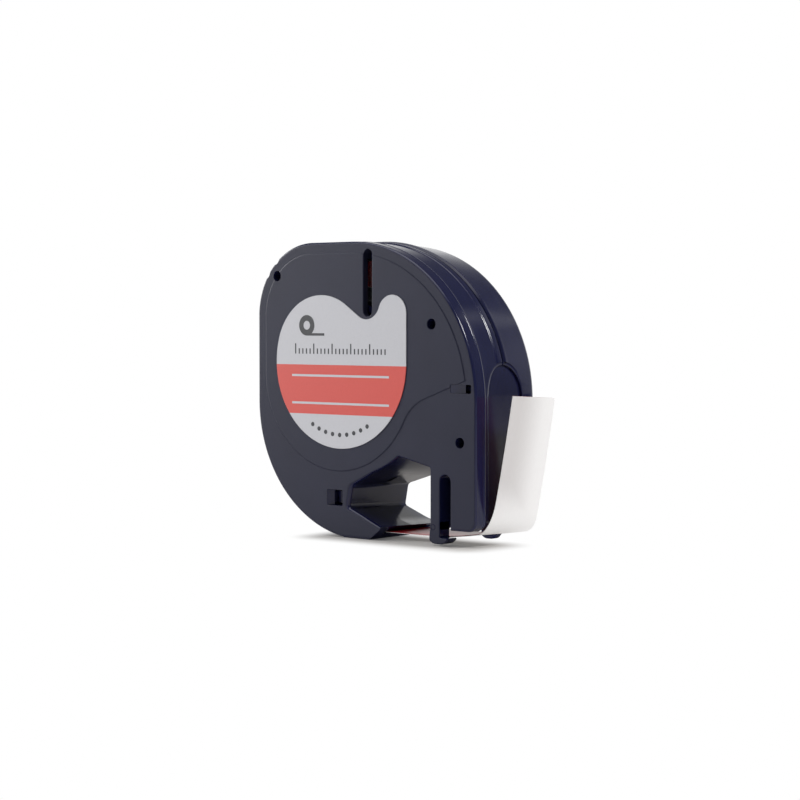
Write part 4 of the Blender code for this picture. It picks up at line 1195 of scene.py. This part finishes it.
class CASSETTE_OT_face_label(bpy.types.Operator):
    """Face label with its printed band, scale, dots and roll sign"""

    bl_idname = "cassette.face_label"
    bl_label = "Face Label"

    def execute(self, context):
        s = context.scene.cassette_label
        front = LABEL_LOW.y - COVER_LOW.y
        back = LABEL_HIGH.y - COVER_LOW.y
        edge = [(front, -LABEL_EDGE), (front + LABEL_EDGE, 0.0), (back, 0.0)]
        label = profile_loft("face_label", label_outline(), edge)
        with editing(label) as body:
            for level in (s.band_top, s.band_bottom):
                bmesh.ops.bisect_plane(body, geom=body.verts[:] + body.edges[:] + body.faces[:],
                                       plane_co=(0.0, 0.0, level), plane_no=(0.0, 0.0, 1.0))
        white = printed_film("satin_label_film", s.paper_colour, 0.38)
        for material in (white, printed_film("printed_band_ink", s.band_colour, 0.34)):
            label.data.materials.append(material)
        for polygon in label.data.polygons:
            inside = s.band_bottom < polygon.center.z < s.band_top
            polygon.material_index = 1 if inside and polygon.center.y < back - LABEL_EDGE / 4.0 else 0
        smooth(label)
        hand_over(label, "printed_face_label", "case", "label_film", "face_label")
        self.print_marks(s, front - PRINT_THICKNESS / 4.0, white)
        return {"FINISHED"}

    def print_marks(self, s, level, white):
        """Printed scale, dots, rules and roll sign, a hair proud of the film."""
        ink = printed_film("dark_print_ink", s.ink_colour, 0.36)
        left = LABEL_CENTRE[0] - (s.tick_count - 1) * s.tick_pitch / 2.0
        short, long = TICK_HEIGHTS
        scale = grow("scale", scale_tree(), {
            "Count": s.tick_count, "Pitch": s.tick_pitch, "Width": TICK_WIDTH, "Short": short,
            "Long": long, "Thickness": PRINT_THICKNESS, "Material": ink})
        scale.data.transform(Matrix.Translation((left, level, SCALE_LEVEL)))
        start, sweep = map(radians, DOT_ARC)
        dots = grow("dots", dot_tree(), {
            "Count": s.dot_count, "Radius": DOT_ARC_RADIUS, "Start": start, "Sweep": sweep,
            "Dot": DOT_RADIUS, "Thickness": PRINT_THICKNESS, "Material": ink})
        dots.data.transform(Matrix.Translation((LABEL_CENTRE[0], level, LABEL_CENTRE[1])))
        half = PRINT_THICKNESS / 2.0
        rules = [prism("rule", rectangle(LABEL_CENTRE[0], z, *RULE_SIZE), level - half, level + half)
                 for z in (s.band_top - RULE_INSET, s.band_bottom + RULE_INSET)]
        for rule in rules:
            rule.data.materials.append(white)
        sign = self.roll_sign(level, half)
        sign.data.materials.append(ink)
        for item, name in ((scale, "label_scale_marks"), (dots, "label_dots"), (sign, "label_roll_sign"),
                           (rules[0], "label_rule_upper"), (rules[1], "label_rule_lower")):
            hand_over(item, name, "case", "label_film")

    def roll_sign(self, level, half):
        """Sign of a tape roll: a ring with a strip leaving it."""
        x, z = SIGN_CENTRE
        outer, inner = SIGN_RADII
        length, thick = SIGN_TAIL
        sign = prism("sign", circle(SIGN_CENTRE, outer, SIGN_SIDES), level - half, level + half)
        tail = rectangle(x + length / 2.0, z - outer + thick / 2.0, length, thick)
        add(sign, prism("tail", tail, level - half, level + half))
        bore = circle(SIGN_CENTRE, inner, HOLE_SIDES)
        cut(sign, prism("tool", bore, level - 2.0 * half, level + 2.0 * half))
        return sign


class CASSETTE_OT_free_tape(bpy.types.Operator):
    """Free strip: label film on its release liner, out of the mouth and up beside the case"""

    bl_idname = "cassette.free_tape"
    bl_label = "Free Tape"

    def execute(self, context):
        s = context.scene.cassette_tape
        half = TAPE_THICKNESS / 2.0
        film = self.layer("tape_film_strip", LAYER_GAP, half, FILM_INSET)
        film.data.materials.append(printed_film("glossy_tape_film", s.film_colour, FILM_ROUGHNESS))
        hand_over(film, "tape_film_strip", "free_tape", "tape_film")
        liner = self.layer("tape_liner_strip", -half, -LAYER_GAP, 0.0)
        liner.data.materials.append(release_liner(s.liner_colour, s.liner_painted_shade))
        hand_over(liner, "tape_liner_strip", "free_tape", "tape_liner", "tape_strip")
        return {"FINISHED"}

    def layer(self, name, low, high, inset):
        """One layer of the strip, between two heights above its middle and inset from the edges."""
        edges = [self.path(TAIL_FRONT, TAIL_FRONT_LEAD), self.path(TAIL_BACK, TAIL_BACK_LEAD)]
        item = new_object(name)
        with editing(item) as body:
            rows = []
            for k in range(TAPE_ACROSS + 1):
                t = k / TAPE_ACROSS
                depth = TAPE_FRONT + inset + (TAPE_BACK - TAPE_FRONT - 2.0 * inset) * t
                path = [Vector(a).lerp(Vector(b), t) for a, b in zip(*edges)]
                for side in (low, high):
                    row = []
                    for i, here in enumerate(path):
                        ahead = path[min(i + 1, len(path) - 1)] - path[max(i - 1, 0)]
                        point = here + side * Vector((-ahead.y, ahead.x)).normalized()
                        row.append(body.verts.new((point.x, depth, point.y)))
                    rows.append(row)
            lows, highs = rows[0::2], rows[1::2]
            pairs = [*zip(lows, lows[1:]), *zip(highs, highs[1:]), (lows[0], highs[0]), (lows[-1], highs[-1])]
            pairs += [([row[end] for row in lows], [row[end] for row in highs]) for end in (0, -1)]
            for near, far in pairs:
                for i in range(len(near) - 1):
                    body.faces.new((near[i], near[i + 1], far[i + 1], far[i]))
            bmesh.ops.recalc_face_normals(body, faces=body.faces)
        smooth(item, TAPE_SHARP_ANGLE)
        return item

    def path(self, turns, lead):
        """Middle line of one edge: straight through the mouth, then curling up."""
        run = RIGHT_REACH - lead - STRIP_START
        points = [(STRIP_START + run * i / TAIL_LEAD_STEPS, TAPE_LEVEL) for i in range(TAIL_LEAD_STEPS + 1)]
        heading = 0.0
        for (radius, turn), count in zip(turns, TAIL_STEPS):
            centre = polar(points[-1], radius, heading + 90.0)
            points += [polar(centre, radius, heading - 90.0 + turn * i / count) for i in range(1, count + 1)]
            heading += turn
        return points


class CASSETTE_OT_spool(bpy.types.Operator):
    """Wound roll, core, guide roller, clear slip discs and the inner run of tape"""

    bl_idname = "cassette.spool"
    bl_label = "Spool"

    def execute(self, context):
        s = context.scene.cassette_tape
        film = bpy.data.materials.get("glossy_tape_film")
        film = film or printed_film("glossy_tape_film", s.film_colour, FILM_ROUGHNESS)
        pitch = (ROLL_RADIUS - CORE_RADIUS - GAP) / s.turns
        roll = grow("wound_roll", winding_tree(), {
            "Turns": float(s.turns) - 1.0, "Inner": CORE_RADIUS + GAP + pitch / 2.0,
            "Outer": ROLL_RADIUS - pitch / 2.0, "Thickness": 0.85 * pitch,
            "Width": ROLL_HIGH.y - ROLL_LOW.y, "Material": film})
        middle = (ROLL_LOW.y + ROLL_HIGH.y) / 2.0 - COVER_LOW.y
        roll.data.transform(Matrix.Translation((0.0, middle, 0.0)))
        roll.data.shade_smooth()
        roll.data.set_sharp_from_angle(angle=TAPE_SHARP_ANGLE)
        hand_over(roll, "wound_tape_roll", "spool", "tape_film", "tape_roll")
        core = core_plastic(s.core_colour)
        clear = slip_film(s.slip_colour)
        for node, material in (("tape_core", core), ("guide_roller", core),
                               ("front_slip_disc", clear), ("rear_slip_disc", clear), ("tape_feed", film)):
            materials = frame["nodes"][node].data.materials
            materials.clear()
            materials.append(material)
        return {"FINISHED"}


class CASSETTE_OT_stage(bpy.types.Operator):
    """Floor, backdrop, lamps and the photograph's camera"""

    bl_idname = "cassette.stage"
    bl_label = "Stage"

    def execute(self, context):
        scene = context.scene
        s = scene.cassette_stage
        scene.view_settings.view_transform = "Standard"
        floor = new_object("studio_floor")
        ring = circle((0.0, 0.0), FLOOR_RADIUS, WIDE_SIDES)
        floor.data.from_pydata([(x, y, -FLOOR_SINK) for x, y in ring], [], [range(len(ring))])
        floor.data.materials.append(studio_floor(s.floor_colour))
        self.backdrop(scene, s)
        for name, position, size, power in LAMPS:
            data = bpy.data.lights.new(name, "AREA")
            data.shape = "RECTANGLE"
            data.size, data.size_y = size
            data.energy = getattr(s, power)
            self.aim(scene, name, data, LAMP_TARGET, Vector(position))
        self.camera(scene)
        return {"FINISHED"}

    def backdrop(self, scene, s):
        """White sweep behind the part, low and as wide as the picture needs, in a dim room."""
        scene.world = bpy.data.worlds.new("studio")
        scene.world.use_nodes = True
        tree = scene.world.node_tree
        way = add_node(tree, "ShaderNodeTexCoord", output="Generated")
        low = fade(tree, axis(tree, way, "Z"), *[sin(radians(angle)) for angle in BACKDROP_HEIGHT])
        azimuth = radians(VIEW_AZIMUTH)
        ahead = vector(tree, "DOT_PRODUCT", way, (-sin(azimuth), cos(azimuth), 0.0))
        behind = fade(tree, ahead, *[cos(radians(angle)) for angle in BACKDROP_WIDTH])
        share = calc(tree, "MAXIMUM", calc(tree, "MULTIPLY", low, behind), seen(tree))
        set_inputs(tree.nodes["Background"], {
            "Color": (1.0, 1.0, 1.0, 1.0), "Strength": spread(tree, share, s.room, s.backdrop)})

    def aim(self, scene, name, data, target, back):
        """Lamp or camera at a distance from a point, facing it."""
        item = bpy.data.objects.new(name, data)
        scene.collection.objects.link(item)
        item.location = target + back
        item.rotation_euler = (-back).to_track_quat("-Z", "Y").to_euler()
        return item

    def camera(self, scene):
        """Camera at the photograph's viewing angle."""
        data = bpy.data.cameras.new("photo_camera")
        data.sensor_width = SENSOR_MM
        data.lens = SENSOR_MM * FOCAL_PIXELS / PHOTO_PIXELS
        data.clip_start = 10.0 * MM
        azimuth, elevation = radians(VIEW_AZIMUTH), radians(VIEW_ELEVATION)
        back = Vector((sin(azimuth) * cos(elevation), -cos(azimuth) * cos(elevation), sin(elevation)))
        distance = FOCAL_PIXELS / PIXELS_PER_METRE
        scene.camera = self.aim(scene, "photo_camera", data, VIEW_TARGET, back * distance)


class CASSETTE_PT_build(bpy.types.Panel):
    """Sidebar list of the pieces"""

    bl_idname = "CASSETTE_PT_build"
    bl_label = "Label Tape Cassette"
    bl_space_type = "VIEW_3D"
    bl_region_type = "UI"
    bl_category = "Cassette"

    def draw(self, context):
        for operator in OPERATORS:
            self.layout.operator(operator.bl_idname)


SETTINGS = {
    "cassette_case": CaseSettings,
    "cassette_label": LabelSettings,
    "cassette_tape": TapeSettings,
    "cassette_stage": StageSettings,
}
OPERATORS = (
    CASSETTE_OT_front_cover,
    CASSETTE_OT_rear_shell,
    CASSETTE_OT_face_label,
    CASSETTE_OT_free_tape,
    CASSETTE_OT_spool,
    CASSETTE_OT_stage,
)
CLASSES = (*SETTINGS.values(), *OPERATORS, CASSETTE_PT_build)


def register():
    for item in CLASSES:
        bpy.utils.register_class(item)
    for name, group in SETTINGS.items():
        setattr(bpy.types.Scene, name, PointerProperty(type=group))


def unregister():
    for name in SETTINGS:
        delattr(bpy.types.Scene, name)
    for item in reversed(CLASSES):
        bpy.utils.unregister_class(item)


def main():
    register()
    bpy.ops.cassette.front_cover()
    bpy.ops.cassette.rear_shell()
    bpy.ops.cassette.face_label()
    bpy.ops.cassette.free_tape()
    bpy.ops.cassette.spool()
    bpy.ops.cassette.stage()


if __name__ == "__main__":
    main()
